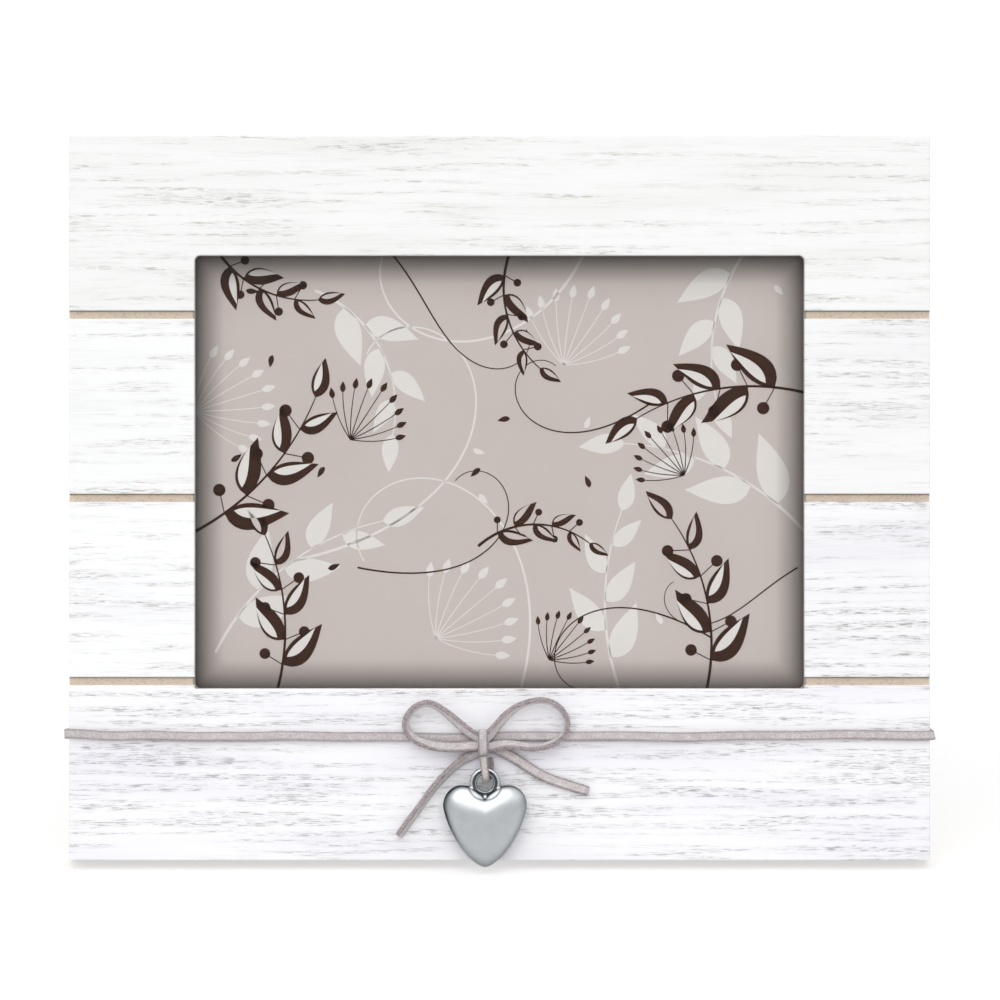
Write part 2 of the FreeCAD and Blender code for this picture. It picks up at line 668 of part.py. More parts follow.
for x, z in nail_spots:
    hanger = hanger.cut(Part.makeCylinder(
        d.nail_shank_radius + d.drive_fit, d.hanger_thick, Vector(x, board_depth, z), Y_AXIS))
new_feature("sawtooth_hanger", hanger)
nail = fastener(
    d.nail_shank_radius, d.nail_depth + d.hanger_thick, d.nail_head_radius, d.nail_head_height)
group("hanger_nails", [
    nail.translated(Vector(x, board_depth + d.hanger_thick, z)) for x, z in nail_spots])


# Cord band: round the front and both side edges, its ends stapled to the back.
band = new_body("cord_band")
loop = new_sketch(band, "XY_Plane", "band_level - cord_width / 2")
draw_rectangle(
    loop,
    f"-{BOARD_WIDTH} / 2 - cord_thick",
    f"{BOARD_WIDTH} / 2 + cord_thick",
    "-cord_thick",
    f"{BOARD_DEPTH} + cord_thick",
)
pad(band, loop, "cord_width")
fillet(band, "cord_thick + edge_round", lambda e: near(e.BoundBox.ZLength, d.cord_width))
inside = new_sketch(band, "XY_Plane", "band_level - cord_width / 2")
draw_rectangle(inside, *full_width, "0", BOARD_DEPTH)
pocket(band, inside, "cord_width", reverse=True)
gap = new_sketch(band, "XY_Plane", "band_level - cord_width / 2")
inner_end = f"({BOARD_WIDTH} / 2 - band_tail)"
draw_rectangle(
    gap, f"-{inner_end}", inner_end, f"{BOARD_DEPTH} / 2", f"{BOARD_DEPTH} + 2 * cord_thick")
pocket(band, gap, "cord_width", reverse=True)


def make_staple(x):
    half = d.staple_span / 2
    crown = board_depth + d.cord_thick
    feet = board_depth - d.staple_depth
    corners = [
        (crown + d.staple_wire, -half),
        (crown + d.staple_wire, half),
        (feet, half),
        (feet, half - d.staple_wire),
        (crown, half - d.staple_wire),
        (crown, d.staple_wire - half),
        (feet, d.staple_wire - half),
        (feet, -half),
    ]
    left = x - d.staple_wire / 2
    return prism(
        [Vector(left, y, d.band_level + z) for y, z in corners], Vector(d.staple_wire, 0, 0))


group("band_staples", [make_staple(-staple_x), make_staple(staple_x)])


# The bow. Each route is the middle line of a strand in the plane of the board, as pairs
# of X and Z, chosen by eye. It starts under the wrap of the knot.
LEFT_LOOP = [
    (-4.6, 33.6), (-8.9, 36.1), (-13.6, 40.4), (-17.0, 43.1), (-20.3, 44.4), (-23.8, 43.1),
    (-26.1, 40.4), (-26.5, 37.3), (-24.7, 34.6), (-20.9, 32.7), (-16.3, 31.9), (-11.5, 31.8),
    (-7.8, 32.2), (-4.6, 32.3),
]
RIGHT_LOOP = [
    (-4.6, 33.2), (-1.9, 36.3), (1.0, 39.9), (4.4, 42.9), (8.4, 44.6), (12.4, 45.1),
    (16.2, 43.7), (18.7, 40.7), (19.2, 37.3), (17.4, 34.2), (13.6, 32.2), (9.0, 31.6),
    (4.4, 32.5), (-0.2, 32.6), (-4.6, 31.4),
]
RIGHT_TAIL = [(-4.6, 32.5), (-0.4, 31.1), (5.0, 28.2), (10.6, 24.3), (16.6, 21.8), (24.9, 19.4)]
LEFT_TAIL = [
    (-4.6, 30.9), (-8.6, 29.4), (-13.2, 26.1), (-18.6, 20.4), (-22.4, 14.9), (-25.4, 10.9),
    (-28.3, 6.9),
]


def rounded_route(points):
    """Straight runs joined by tangent arcs, and the least radius."""
    edges = []
    radii = []
    start = points[0]
    for before, corner, after in zip(points, points[1:], points[2:]):
        into = (corner - before).normalize()
        out = (after - corner).normalize()
        turn = into.getAngle(out)
        reach = ARC_SHARE * min((corner - before).Length, (after - corner).Length)
        radius = reach / math.tan(turn / 2)
        begin = corner - into * reach
        end = corner + out * reach
        towards = (out - into).normalize()
        middle = corner + towards * (radius / math.cos(turn / 2) - radius)
        edges.append(Part.makeLine(start, begin))
        edges.append(Part.Arc(begin, middle, end).toShape())
        radii.append(radius)
        start = end
    edges.append(Part.makeLine(start, points[-1]))
    return Part.Wire(edges), radii


def ribbon(label, route, across, deep, rest):
    """A flat strand: 'across' its middle line in the board's plane, 'deep' out of it."""
    points = [Vector(x, -rest - deep / 2, z) for x, z in route]
    path, radii = rounded_route(points)
    ahead = (points[1] - points[0]).normalize()
    side = ahead.cross(Y_AXIS) * (across / 2)
    out = Y_AXIS * (deep / 2)
    corners = [points[0] + side + out, points[0] + side - out,
               points[0] - side - out, points[0] - side + out]
    section = Part.makePolygon(corners + corners[:1])
    solid = path.makePipeShell([section], True, False)
    share = solid.Volume / (across * deep * path.Length)
    print(f"{label}: length {path.Length:.1f} mm, least radius {min(radii):.1f} mm,"
          f" largest {max(radii):.1f} mm, volume against section times length {share:.4f}")
    return solid


wrap = box_between(
    d.knot_middle - d.knot_width / 2, d.knot_middle + d.knot_width / 2,
    -d.knot_depth, 0, d.knot_bottom, d.knot_top)
wrap = wrap.makeFillet(d.knot_bend, [
    e for e in wrap.Edges if lies_at(e, "Y", -d.knot_depth) and e.BoundBox.XLength > d.knot_bend])
wrap = wrap.makeFillet(d.knot_soft, [
    e for e in wrap.Edges
    if e.BoundBox.XLength < d.drive_fit and near(e.BoundBox.YMin, -d.knot_depth)])
channel_low = d.band_level - d.cord_width / 2 - d.band_room
wrap = wrap.cut(box_between(
    d.knot_middle - d.knot_width, d.knot_middle + d.knot_width,
    -d.cord_thick, d.cord_thick, channel_low, d.knot_top + d.overrun))
new_feature("bow_knot", wrap)
inside_knot = box_between(
    d.knot_middle - d.knot_width / 2, d.knot_middle + d.knot_width / 2,
    -d.knot_depth, 0, d.knot_bottom, d.knot_top)
on_band = d.cord_thick + RIBBON_GAP_SHARE * d.cord_thick
for label, route, across, deep, rest in (
    ("bow_loop_left", LEFT_LOOP, d.cord_thick, d.cord_width, on_band),
    ("bow_loop_right", RIGHT_LOOP, d.cord_thick, d.cord_width, on_band),
    ("bow_tail_left", LEFT_TAIL, d.cord_thick, d.cord_width, 0),
    ("bow_tail_right", RIGHT_TAIL, d.cord_width, d.cord_thick, 0),
):
    new_feature(label, ribbon(label, route, across, deep, rest).cut(inside_knot))


# Cord loop of the charm: a strap bent round the top of the ring, its two strands going up
# to the knot, where their rounded ends turn about a pivot.
ring_room = max(d.ring_depth, d.ring_outer_radius - d.ring_inner_radius) / 2 + d.strap_room
bend = ring_room + d.strap_thick / 2
ring_top = d.ring_level + (d.ring_outer_radius + d.ring_inner_radius) / 2
pivot_level = d.knot_bottom - d.strap_gap - d.strap_width / 2
bend_middle = Vector(d.charm_middle, charm_plane, ring_top)
strand_top = pivot_level + d.strap_width
front_top = Vector(d.charm_middle, -d.strap_top_depth, strand_top)
to_top = front_top - bend_middle
tangent = math.atan2(to_top.z, to_top.y) + math.acos(bend / to_top.Length)


def on_bend(angle):
    return bend_middle + Vector(0, math.cos(angle), math.sin(angle)) * bend


back_top = Vector(d.charm_middle, charm_plane + bend, strand_top)
strap_path = Part.Wire([
    Part.makeLine(front_top, on_bend(tangent)),
    Part.Arc(on_bend(tangent), on_bend((tangent + 2 * math.pi) / 2), on_bend(0)).toShape(),
    Part.makeLine(on_bend(0), back_top),
])
ahead = (on_bend(tangent) - front_top).normalize()
thick = ahead.cross(X_AXIS) * (d.strap_thick / 2)
half_strap = X_AXIS * (d.strap_width / 2)
corners = [front_top + half_strap + thick, front_top + half_strap - thick,
           front_top - half_strap - thick, front_top - half_strap + thick]
strap = strap_path.makePipeShell([Part.makePolygon(corners + corners[:1])], True, False)
reach = d.knot_depth + d.heart_thick
left = d.charm_middle - d.strap_width / 2
envelope = box_between(left, left + d.strap_width, -reach, 0, 0, pivot_level).fuse(
    Part.makeCylinder(
        d.strap_width / 2, reach, Vector(d.charm_middle, -reach, pivot_level), Y_AXIS))
new_feature("charm_loop", strap.common(envelope).removeSplitter())


# Heart charm, about the middle of its widest level: two puffed halves and the ring.
def lobe_top(x):
    outer = d.heart_half_width - d.lobe_offset
    inner = d.lobe_offset / math.sqrt(1 - (d.cleft_height / d.lobe_height) ** 2)
    along = (x - d.lobe_offset) / (outer if x > d.lobe_offset else inner)
    return d.lobe_height * math.sqrt(max(0, 1 - along ** 2))


def flank(x):
    share = 1 - (x / d.heart_half_width) ** FLANK_POWER
    return -d.tip_depth * share ** TIP_POWER


def puff(x):
    share = 1 - (x / d.heart_half_width) ** PUFF_POWER
    return d.heart_thick / 2 * math.sqrt(share)


def heart_slice(x):
    """The heart's outline cut across at X, an ellipse from its flank to its lobe."""
    top = lobe_top(x)
    low = flank(x)
    turns = [2 * math.pi * i / SLICE_POINTS for i in range(SLICE_POINTS)]
    oval = Part.BSplineCurve()
    oval.interpolate(PeriodicFlag=True, Points=[
        Vector(x, puff(x) * math.cos(a), (top + low + (top - low) * math.sin(a)) / 2)
        for a in turns])
    return Part.Wire(oval.toShape())


slices = [
    heart_slice(d.heart_half_width * math.sin(LAST_SLICE * i / (SLICES - 1)))
    for i in range(SLICES)]
half_heart = Part.makeLoft(
    slices + [Part.Vertex(d.heart_half_width, 0, 0)], True, False, False, LOFT_DEGREE)

# The ring's section, front half: shares of its width from the hole outwards and of half
# its depth. Two rounded ridges with a cove between them.
RIDGES = [
    ((0.0, 0.45), (0.17, 0.9), (0.34, 0.62)),
    ((0.34, 0.62), (0.42, 0.5), (0.5, 0.62)),
    ((0.5, 0.62), (0.74, 1.0), (1.0, 0.42)),
]


def ring_spot(share, deep_share, face):
    width = d.ring_outer_radius - d.ring_inner_radius
    return Vector(
        d.ring_inner_radius + share * width, face * deep_share * d.ring_depth / 2, 0)


edges = []
for face in (-1, 1):
    for start, middle, end in RIDGES:
        edges.append(Part.Arc(*[ring_spot(a, b, face) for a, b in (start, middle, end)]).toShape())
for a, b in (RIDGES[0][0], RIDGES[-1][-1]):
    edges.append(Part.makeLine(ring_spot(a, b, -1), ring_spot(a, b, 1)))
ring = Part.Face(Part.Wire(Part.__sortEdges__(edges))).revolve(Vector(0, 0, 0), Y_AXIS, 360)
ring_up = d.ring_level - d.heart_level
ring.translate(Vector(0, 0, ring_up))
nubs = []
for side in (-1, 1):
    angle = math.radians(NUB_ANGLE)
    spot = Vector(side * math.cos(angle), 0, -math.sin(angle)) * d.ring_outer_radius
    spot.y = -d.ring_depth / 4
    nubs.append(Part.makeSphere(d.nub_radius, spot + Vector(0, 0, ring_up)))
spur_top = ring_up - d.ring_inner_radius - d.spur_radius / 2
nubs.append(Part.makeCone(
    d.spur_radius, d.spur_radius / 4, 2 * d.spur_radius, Vector(0, 0, spur_top), -Z_AXIS))
other_half = half_heart.mirror(Vector(0, 0, 0), X_AXIS)
charm = half_heart.fuse([other_half, ring] + nubs)
new_feature(
    "heart_charm", charm,
    BOARD * Placement(Vector(d.charm_middle, charm_plane, d.heart_level), Rotation()))


# Checks, then one file for each piece.
doc.recompute()
for item in doc.Objects:
    if {"Invalid", "Error"} & set(item.State):
        raise RuntimeError(f"{item.Label} failed: {item.State}")
pieces = [
    item for item in doc.Objects
    if item.TypeId in ("PartDesign::Body", "Part::Feature")]
for piece in pieces:
    if piece.Shape.isNull() or not piece.Shape.isValid() or not piece.Shape.Solids:
        raise RuntimeError(f"{piece.Label} has no valid solid")
os.makedirs("parts", exist_ok=True)
for piece in pieces:
    piece.Shape.exportStep(f"parts/{piece.Label}.step")
print(f"{len(pieces)} pieces")
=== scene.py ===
"""A white-washed photo frame with a suede cord bow and a heart charm, set for its portrait."""
import math
import random

import bmesh
import bpy
from mathutils import Matrix, Vector


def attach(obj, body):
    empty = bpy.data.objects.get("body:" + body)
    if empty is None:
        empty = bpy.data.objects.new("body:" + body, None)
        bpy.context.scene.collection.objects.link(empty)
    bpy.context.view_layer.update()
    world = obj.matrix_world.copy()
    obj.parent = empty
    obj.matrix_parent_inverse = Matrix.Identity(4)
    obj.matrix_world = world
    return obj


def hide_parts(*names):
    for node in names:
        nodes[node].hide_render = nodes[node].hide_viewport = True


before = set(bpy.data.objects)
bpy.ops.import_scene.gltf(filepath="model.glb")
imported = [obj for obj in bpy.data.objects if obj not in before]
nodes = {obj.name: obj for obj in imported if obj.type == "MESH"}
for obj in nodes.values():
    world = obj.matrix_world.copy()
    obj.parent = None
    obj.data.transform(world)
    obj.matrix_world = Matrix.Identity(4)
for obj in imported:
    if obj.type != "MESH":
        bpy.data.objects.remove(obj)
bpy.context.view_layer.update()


# Core board. The frame's body is raw fibreboard, sawn and routed with the window, the rebate
# behind it and the slots for the back hardware. It leans back 12 degrees on its easel leg.
# Its bare tan face shows as the floor of the grooves between the slats.
LEAN = math.radians(12)
INWARD = Vector((0, math.cos(LEAN), -math.sin(LEAN)))
UPWARD = Vector((0, math.sin(LEAN), math.cos(LEAN)))
slat_corners = [vertex.co for vertex in nodes["plank_bottom"].data.vertices]
FACE = min(corner.dot(INWARD) for corner in slat_corners)
SILL = min(corner.dot(UPWARD) for corner in slat_corners)
WINDOW_HALF_WIDE = 0.0855
WINDOW_HALF_HIGH = 0.06075
WINDOW_MIDDLE = 0.10885
SLAT_PITCH = 0.051375
SLAT_DEEP = 0.002


def on_board(x, y, z):
    """A point given in millimetres: right, into the board from its face, up from its foot."""
    return Vector((x / 1000, 0, 0)) + INWARD * (FACE + y / 1000) + UPWARD * (SILL + z / 1000)


def paint(red, green, blue):
    """A colour as it reads on a screen, 0 to 255, turned into the light it gives back."""
    shades = [part / 255 for part in (red, green, blue)]
    shades = [s / 12.92 if s < 0.04045 else ((s + 0.055) / 1.055) ** 2.4 for s in shades]
    return (*shades, 1)


def new_finish(name, rough):
    finish = bpy.data.materials.new(name)
    finish.use_nodes = True
    skin = finish.node_tree.nodes["Principled BSDF"]
    skin.inputs["Roughness"].default_value = rough
    return finish, skin


def plug(finish, socket, value):
    if isinstance(value, bpy.types.NodeSocket):
        finish.node_tree.links.new(value, socket)
    else:
        socket.default_value = value


def add(finish, kind, *joined, **settings):
    """One node of a finish; each pair in 'joined' is an input and what it takes."""
    node = finish.node_tree.nodes.new("ShaderNode" + kind)
    for name, value in settings.items():
        setattr(node, name, value)
    for socket, value in joined:
        plug(finish, node.inputs[socket], value)
    return node


def sums(finish, operation, *values):
    return add(finish, "Math", *enumerate(values), operation=operation).outputs[0]


def board_place(finish, shift=(0, 0, 0)):
    """Metres along the board's own axes, so that grain and fibre lie straight on it."""
    here = add(finish, "TexCoord").outputs["Object"]
    away = (-shift[0], -FACE - shift[1], -SILL - shift[2])
    return add(
        finish, "Mapping", ("Vector", here), ("Location", away),
        ("Rotation", (LEAN, 0, 0))).outputs[0]


def cloud(finish, place, stretch, detail, rough=0.5):
    """Soft noise, 0 to 1, with so many blots to the metre each way."""
    if isinstance(stretch, (int, float)):
        stretch = (stretch, stretch, stretch)
    spread = add(finish, "VectorMath", (0, place), (1, stretch), operation="MULTIPLY")
    return add(
        finish, "TexNoise", ("Vector", spread.outputs[0]), ("Scale", 1.0),
        ("Detail", detail), ("Roughness", rough)).outputs[0]


def fade(finish, value, low, high, start=0.0, end=1.0):
    """A smooth step from start to end as value goes from low to high."""
    return add(
        finish, "MapRange", ("Value", value), ("From Min", low), ("From Max", high),
        ("To Min", start), ("To Max", end), interpolation_type="SMOOTHSTEP").outputs[0]


def blend_paint(finish, share, under, over, how="MIX"):
    return add(
        finish, "Mix", (0, share), (6, under), (7, over), data_type="RGBA",
        blend_type=how).outputs[2]


def relief(finish, skin, height, depth, strength):
    bump = add(finish, "Bump", ("Height", height), ("Distance", depth), ("Strength", strength))
    plug(finish, skin.inputs["Normal"], bump.outputs[0])


def coat(name, finish):
    """Gives a CAD piece its finish, in the place of the plain one that it came with."""
    piece = nodes[name]
    piece.data.materials.clear()
    piece.data.materials.append(finish)


def raw_fibreboard():
    """Tan fibre with darker flecks. The window's wall is grey, and along the top of each groove
    runs a thin dark line of painted shadow, the shade that the slat above throws."""
    finish, skin = new_finish("raw_fibreboard", 0.85)
    place = board_place(finish)
    fibre = cloud(finish, place, (900, 900, 1500), 3)
    fleck = fade(finish, cloud(finish, place, (1300, 1300, 2100), 1), 0.56, 0.7)
    tan = blend_paint(finish, fibre, paint(214, 196, 176), paint(236, 222, 206))
    tan = blend_paint(finish, sums(finish, "MULTIPLY", fleck, 0.4), tan, paint(168, 146, 122))
    split = add(finish, "SeparateXYZ", (0, place))
    beside = sums(finish, "ABSOLUTE", split.outputs[0])
    beside = fade(
        finish, beside, WINDOW_HALF_WIDE + 0.0003, WINDOW_HALF_WIDE + 0.0007, 1.0, 0.0)
    above = sums(finish, "ABSOLUTE", sums(finish, "SUBTRACT", split.outputs[2], WINDOW_MIDDLE))
    above = fade(
        finish, above, WINDOW_HALF_HIGH + 0.00035, WINDOW_HALF_HIGH + 0.00075, 1.0, 0.0)
    window_wall_grey = sums(finish, "MULTIPLY", beside, above)
    tan = blend_paint(finish, sums(finish, "MULTIPLY", window_wall_grey, 0.9), tan, paint(150, 142, 138))
    # Painted shadow: a thin dark line along the top of each groove, where the slat above shades
    # the groove floor.
    foot = sums(finish, "MODULO", split.outputs[2], SLAT_PITCH)
    groove_shadow = fade(finish, foot, SLAT_PITCH - 0.000525, SLAT_PITCH - 0.000275, 0.0, 0.7)
    near_face = fade(
        finish, split.outputs[1], SLAT_DEEP + 0.0003, SLAT_DEEP + 0.001, 1.0, 0.0)
    groove_shadow = sums(finish, "MULTIPLY", groove_shadow, near_face)
    tan = blend_paint(finish, groove_shadow, tan, paint(112, 106, 88))
    plug(finish, skin.inputs["Base Color"], tan)
    relief(finish, skin, fibre, 0.00012, 0.6)
    return finish


coat("core_board", raw_fibreboard())


# Slats. Six thin strips of soft wood are glued to the board with a saw's width between them.
# A thin white wash is brushed on and wiped off, so that the open grain stays grey in short
# dashes, gathered in rows that grow denser towards the foot of the frame.
def whitewash(name, shift, wash, haze, grain, amount, strong):
    """Wash and haze are the brushed white, grain is the wood that shows in the dashes; amount
    is how much of the slat has dashes, and strong how well they show."""
    finish, skin = new_finish(name, 0.62)
    place = board_place(finish, shift)
    sway = cloud(finish, place, (7, 20, 26), 2)
    place = add(
        finish, "VectorMath", (0, sway), (1, (0.0, 0.0, 0.003)), (2, place),
        operation="MULTIPLY_ADD").outputs[0]
    dash = fade(finish, cloud(finish, place, (230, 160, 3700), 3, 0.6), 0.532, 0.575)
    row = cloud(finish, place, (19, 30, 470), 4, 0.62)
    patch = cloud(finish, place, (6, 10, 34), 2)
    packed = sums(finish, "MULTIPLY_ADD", patch, 0.35, row)
    packed = fade(finish, packed, 0.75 - amount, 0.89 - amount)
    line = sums(finish, "MULTIPLY", dash, packed)
    hair = fade(finish, cloud(finish, place, (120, 70, 3800), 2), 0.46, 0.64)
    hair = sums(finish, "MULTIPLY", hair, fade(finish, row, 0.42, 0.6))
    veil = fade(finish, cloud(finish, place, (9, 20, 90), 3), 0.42, 0.72)
    face = blend_paint(finish, sums(finish, "MULTIPLY", veil, 0.7), wash, haze)
    face = blend_paint(finish, sums(finish, "MULTIPLY", hair, 0.24 * strong), face, grain)
    face = blend_paint(finish, sums(finish, "MULTIPLY", line, 0.85 * strong), face, grain)
    plug(finish, skin.inputs["Base Color"], face)
    pore = sums(finish, "MULTIPLY_ADD", line, -1.0, sums(finish, "MULTIPLY", veil, 0.25))
    relief(finish, skin, pore, 0.00018, 0.5)
    return finish


SLATS = {
    "plank_top": (
        (0.0, 0.0, 0.0), (246, 247, 246), (238, 238, 236), (178, 170, 160), 0.07, 0.75),
    "plank_upper_left": (
        (0.41, 0.1, 0.2), (249, 250, 250), (242, 243, 243), (178, 172, 166), 0.07, 0.75),
    "plank_upper_right": (
        (0.93, 0.2, 0.5), (247, 247, 248), (239, 239, 241), (172, 166, 161), 0.06, 0.75),
    "plank_lower_left": (
        (1.37, 0.3, 0.8), (252, 253, 254), (244, 244, 248), (166, 160, 158), 0.06, 0.8),
    "plank_lower_right": (
        (1.72, 0.1, 1.1), (248, 248, 250), (236, 234, 241), (150, 145, 144), 0.12, 0.85),
    "plank_bottom": (
        (2.3, 0.4, 1.6), (251, 251, 254), (239, 237, 246), (150, 145, 147), 0.1, 0.8),
}
for slat, (shift, wash, haze, grain, amount, strong) in SLATS.items():
    coat(slat, whitewash(
        "whitewash_" + slat, shift, paint(*wash), paint(*haze), paint(*grain), amount, strong))


# Glass. The pane is cut to the seven by five inch size with ground edges, and lies in the
# rebate behind the window, against its lip.
def clear_glass():
    finish, skin = new_finish("clear_glass", 0.03)
    tree = finish.node_tree
    tree.nodes.remove(skin)
    sheen = add(finish, "BsdfGlossy", ("Color", (1, 1, 1, 1)), ("Roughness", 0.03))
    through = add(finish, "BsdfTransparent", ("Color", (0.996, 1, 0.998, 1)))
    bounce = add(finish, "Fresnel", ("IOR", 1.16))
    both = add(
        finish, "MixShader", (0, bounce.outputs[0]), (1, through.outputs[0]),
        (2, sheen.outputs[0]))
    tree.links.new(both.outputs[0], tree.nodes["Material Output"].inputs["Surface"])
    return finish


coat("glass_pane", clear_glass())


# Print. The insert that comes with the frame is a sheet of smooth paper under the glass,
# printed in brown and off-white on taupe. Towards the window's edge its colours are darkened by
# painted shade, for the shade that the rebate's walls throw on it.
# Its pattern is a plain one of twigs, leaves, berries and tendrils.
REBATE_SHADE_START, REBATE_SHADE_END = -0.0006, 0.0078


def darker(shade, share):
    """The same colour with each of its parts cut to a share."""
    return paint(*(part * share for part in shade))


def printed_ink(name, shade):
    """One colour of the print, darkened towards the window's edge by painted shade from the
    rebate.
    """
    finish, skin = new_finish(name, 0.55)
    skin.inputs["Specular IOR Level"].default_value = 0.15
    place = board_place(finish)
    split = add(finish, "SeparateXYZ", (0, place))
    from_side = sums(finish, "ABSOLUTE", split.outputs[0])
    from_side = sums(finish, "SUBTRACT", WINDOW_HALF_WIDE, from_side)
    from_rail = sums(finish, "SUBTRACT", split.outputs[2], WINDOW_MIDDLE)
    from_rail = sums(finish, "SUBTRACT", WINDOW_HALF_HIGH, sums(finish, "ABSOLUTE", from_rail))
    inside = sums(finish, "SMOOTH_MIN", from_side, from_rail, 0.003)
    # Painted shade: each ink darkens towards the window's edge, and is back at its own colour
    # 7.8 mm in.
    rebate_shade = add(
        finish, "MapRange", ("Value", inside), ("From Min", REBATE_SHADE_START),
        ("From Max", REBATE_SHADE_END))
    rebate_shade = sums(finish, "POWER", rebate_shade.outputs[0], 0.82)
    tone = sums(finish, "MULTIPLY_ADD", cloud(finish, place, 40, 3), 0.06, 0.97)
    ink = blend_paint(finish, rebate_shade, darker(shade, 0.42), paint(*shade))
    ink = blend_paint(finish, 1.0, ink, tone, "MULTIPLY")
    plug(finish, skin.inputs["Base Color"], ink)
    return finish


TAUPE, BROWN, CREAM = 0, 1, 2
INKS = (
    ("ink_taupe", (210, 199, 195)), ("ink_brown", (55, 28, 12)), ("ink_cream", (234, 229, 226)))
shapes = []


def turned(points, x, z, heading):
    """Points of an outline, set down at x and z of the board and turned to a heading."""
    c, s = math.cos(heading), math.sin(heading)
    return [(x + c * u - s * v, z + s * u + c * v) for u, v in points]


def leaf(length, width, bend=0.0):
    """A pointed leaf from its foot along its own axis."""
    steps = 11
    ends = [step / (steps - 1) for step in range(steps)]
    half = [width / 2 * math.sin(math.pi * t ** 0.75) for t in ends]
    over = [(length * t, h + bend * length * t * t) for t, h in zip(ends, half)]
    under = [(length * t, bend * length * t * t - h) for t, h in zip(ends, half)]
    return over + under[-2:0:-1]


def stroke(points, thick, thin):
    """A pen stroke along points, from thick to thin."""
    left, right = [], []
    for index, (x, z) in enumerate(points):
        before = points[max(index - 1, 0)]
        after = points[min(index + 1, len(points) - 1)]
        run = Vector((after[0] - before[0], after[1] - before[1])).normalized()
        half = (thick + (thin - thick) * index / (len(points) - 1)) / 2
        left.append((x - run.y * half, z + run.x * half))
        right.append((x + run.y * half, z - run.x * half))
    return [[left[i], left[i + 1], right[i + 1], right[i]] for i in range(len(points) - 1)]


def wander(x, z, heading, length, turn, gather=0.0, steps=26):
    """A line that turns as it goes, the more tightly the further it gets."""
    track = [(x, z, heading)]
    for step in range(steps):
        x += math.cos(heading) * length / steps
        z += math.sin(heading) * length / steps
        heading += (turn + gather * (step / steps) ** 2) / steps
        track.append((x, z, heading))
    return track


def draw(layer, ink, *outlines):
    for outline in outlines:
        shapes.append((layer, ink, outline))


def draw_line(layer, ink, track, thick, thin):
    draw(layer, ink, *stroke([(u, v) for u, v, _ in track], thick, thin))


def dot(x, z, radius):
    count = 20
    return [(x + radius * math.cos(a), z + radius * math.sin(a))
            for a in (2 * math.pi * k / count for k in range(count))]


def veined_leaf(layer, ink, x, z, heading, size, bend):
    """Half solid, half outlined, as a brush pattern shows a leaf that catches the light."""
    draw(layer, ink, turned(leaf(size, size * 0.44, bend), x, z, heading))
    if ink == BROWN:
        inner = turned(leaf(size * 0.72, size * 0.17, bend), x, z, heading)
        side = (-math.sin(heading) * size * 0.075, math.cos(heading) * size * 0.075)
        nose = (math.cos(heading) * size * 0.14, math.sin(heading) * size * 0.14)
        draw(layer + 1, CREAM if size > 11 else TAUPE,
             [(u + side[0] + nose[0], v + side[1] + nose[1]) for u, v in inner])


def twig(layer, ink, x, z, heading, length, turn, size, berries=False):
    """A bent stem with leaves to either side, smaller towards its tip."""
    track = wander(x, z, heading, length, turn)
    draw_line(layer, ink, track, 0.85, 0.3)
    for count, step in enumerate(range(5, 25, 4)):
        u, v, ahead = track[step]
        side = 1 if count % 2 else -1
        scale = size * (1.12 - 0.1 * count)
        veined_leaf(layer, ink, u, v, ahead + side * 0.85, scale, -0.22 * side)
        if berries:
            away = ahead - side * 1.15
            tip = (u + math.cos(away) * size * 0.42, v + math.sin(away) * size * 0.42)
            draw(layer, ink, *stroke([(u, v), tip], 0.3, 0.3), dot(*tip, size * 0.11))
    u, v, ahead = track[-1]
    veined_leaf(layer, ink, u, v, ahead, size * 0.72, 0.12)


def tendril(layer, ink, x, z, heading, length, turn, gather, thick=0.5):
    track = wander(x, z, heading, length, turn, gather, 90)
    draw_line(layer, ink, track, thick, thick * 0.45)


def seed_head(layer, ink, x, z, heading, size):
    """Thin stalks that fan out from one point, each with its seed."""
    rays = 9
    for ray in range(rays):
        spread = (ray / (rays - 1) - 0.5) * 2.3
        reach = size * (1 - 0.18 * abs(spread))
        track = wander(x, z, heading + spread, reach, -spread * 0.35, steps=8)
        draw_line(layer, ink, track, 0.3, 0.22)
        u, v, ahead = track[-1]
        draw(layer, ink, turned(leaf(size * 0.2, size * 0.1), u, v, ahead))


# Off-white ghosts first, then the dark twigs over them.
GHOSTS, TWIGS = 0, 2
twig(GHOSTS, CREAM, -80, 58, 1.1, 62, -0.9, 17)
twig(GHOSTS, CREAM, -52, 160, -0.4, 50, -1.4, 15)
twig(GHOSTS, CREAM, 86, 92, 2.3, 58, 0.8, 18)
twig(GHOSTS, CREAM, 34, 47, 1.9, 52, -0.7, 15)
twig(GHOSTS, CREAM, 70, 172, -2.2, 46, 0.9, 15)
seed_head(GHOSTS, CREAM, 18, 139, 1.2, 20)
seed_head(GHOSTS, CREAM, -18, 62, 0.7, 22)
seed_head(GHOSTS, CREAM, -86, 126, 0.3, 20)
tendril(GHOSTS, CREAM, -58, 84, 0.2, 120, 1.2, 9.0, 0.8)
tendril(GHOSTS, CREAM, 24, 171, -2.0, 105, -2.2, -8.0, 0.8)
tendril(GHOSTS, CREAM, 6, 48, 1.3, 110, 1.6, 7.5, 0.7)
twig(TWIGS, BROWN, -86, 92, 0.5, 52, 0.7, 16, True)
twig(TWIGS, BROWN, -63, 46, 1.3, 46, 0.7, 14, True)
twig(TWIGS, BROWN, 87, 131, 2.9, 50, 0.8, 16, True)
twig(TWIGS, BROWN, 58, 46, 1.35, 52, 0.85, 15, True)
twig(TWIGS, BROWN, 3, 171, -1.9, 36, 1.2, 10, True)
twig(TWIGS, BROWN, -6, 88, 0.7, 34, -1.4, 9, True)
twig(TWIGS, BROWN, -80, 172, -1.0, 34, 1.1, 11, True)
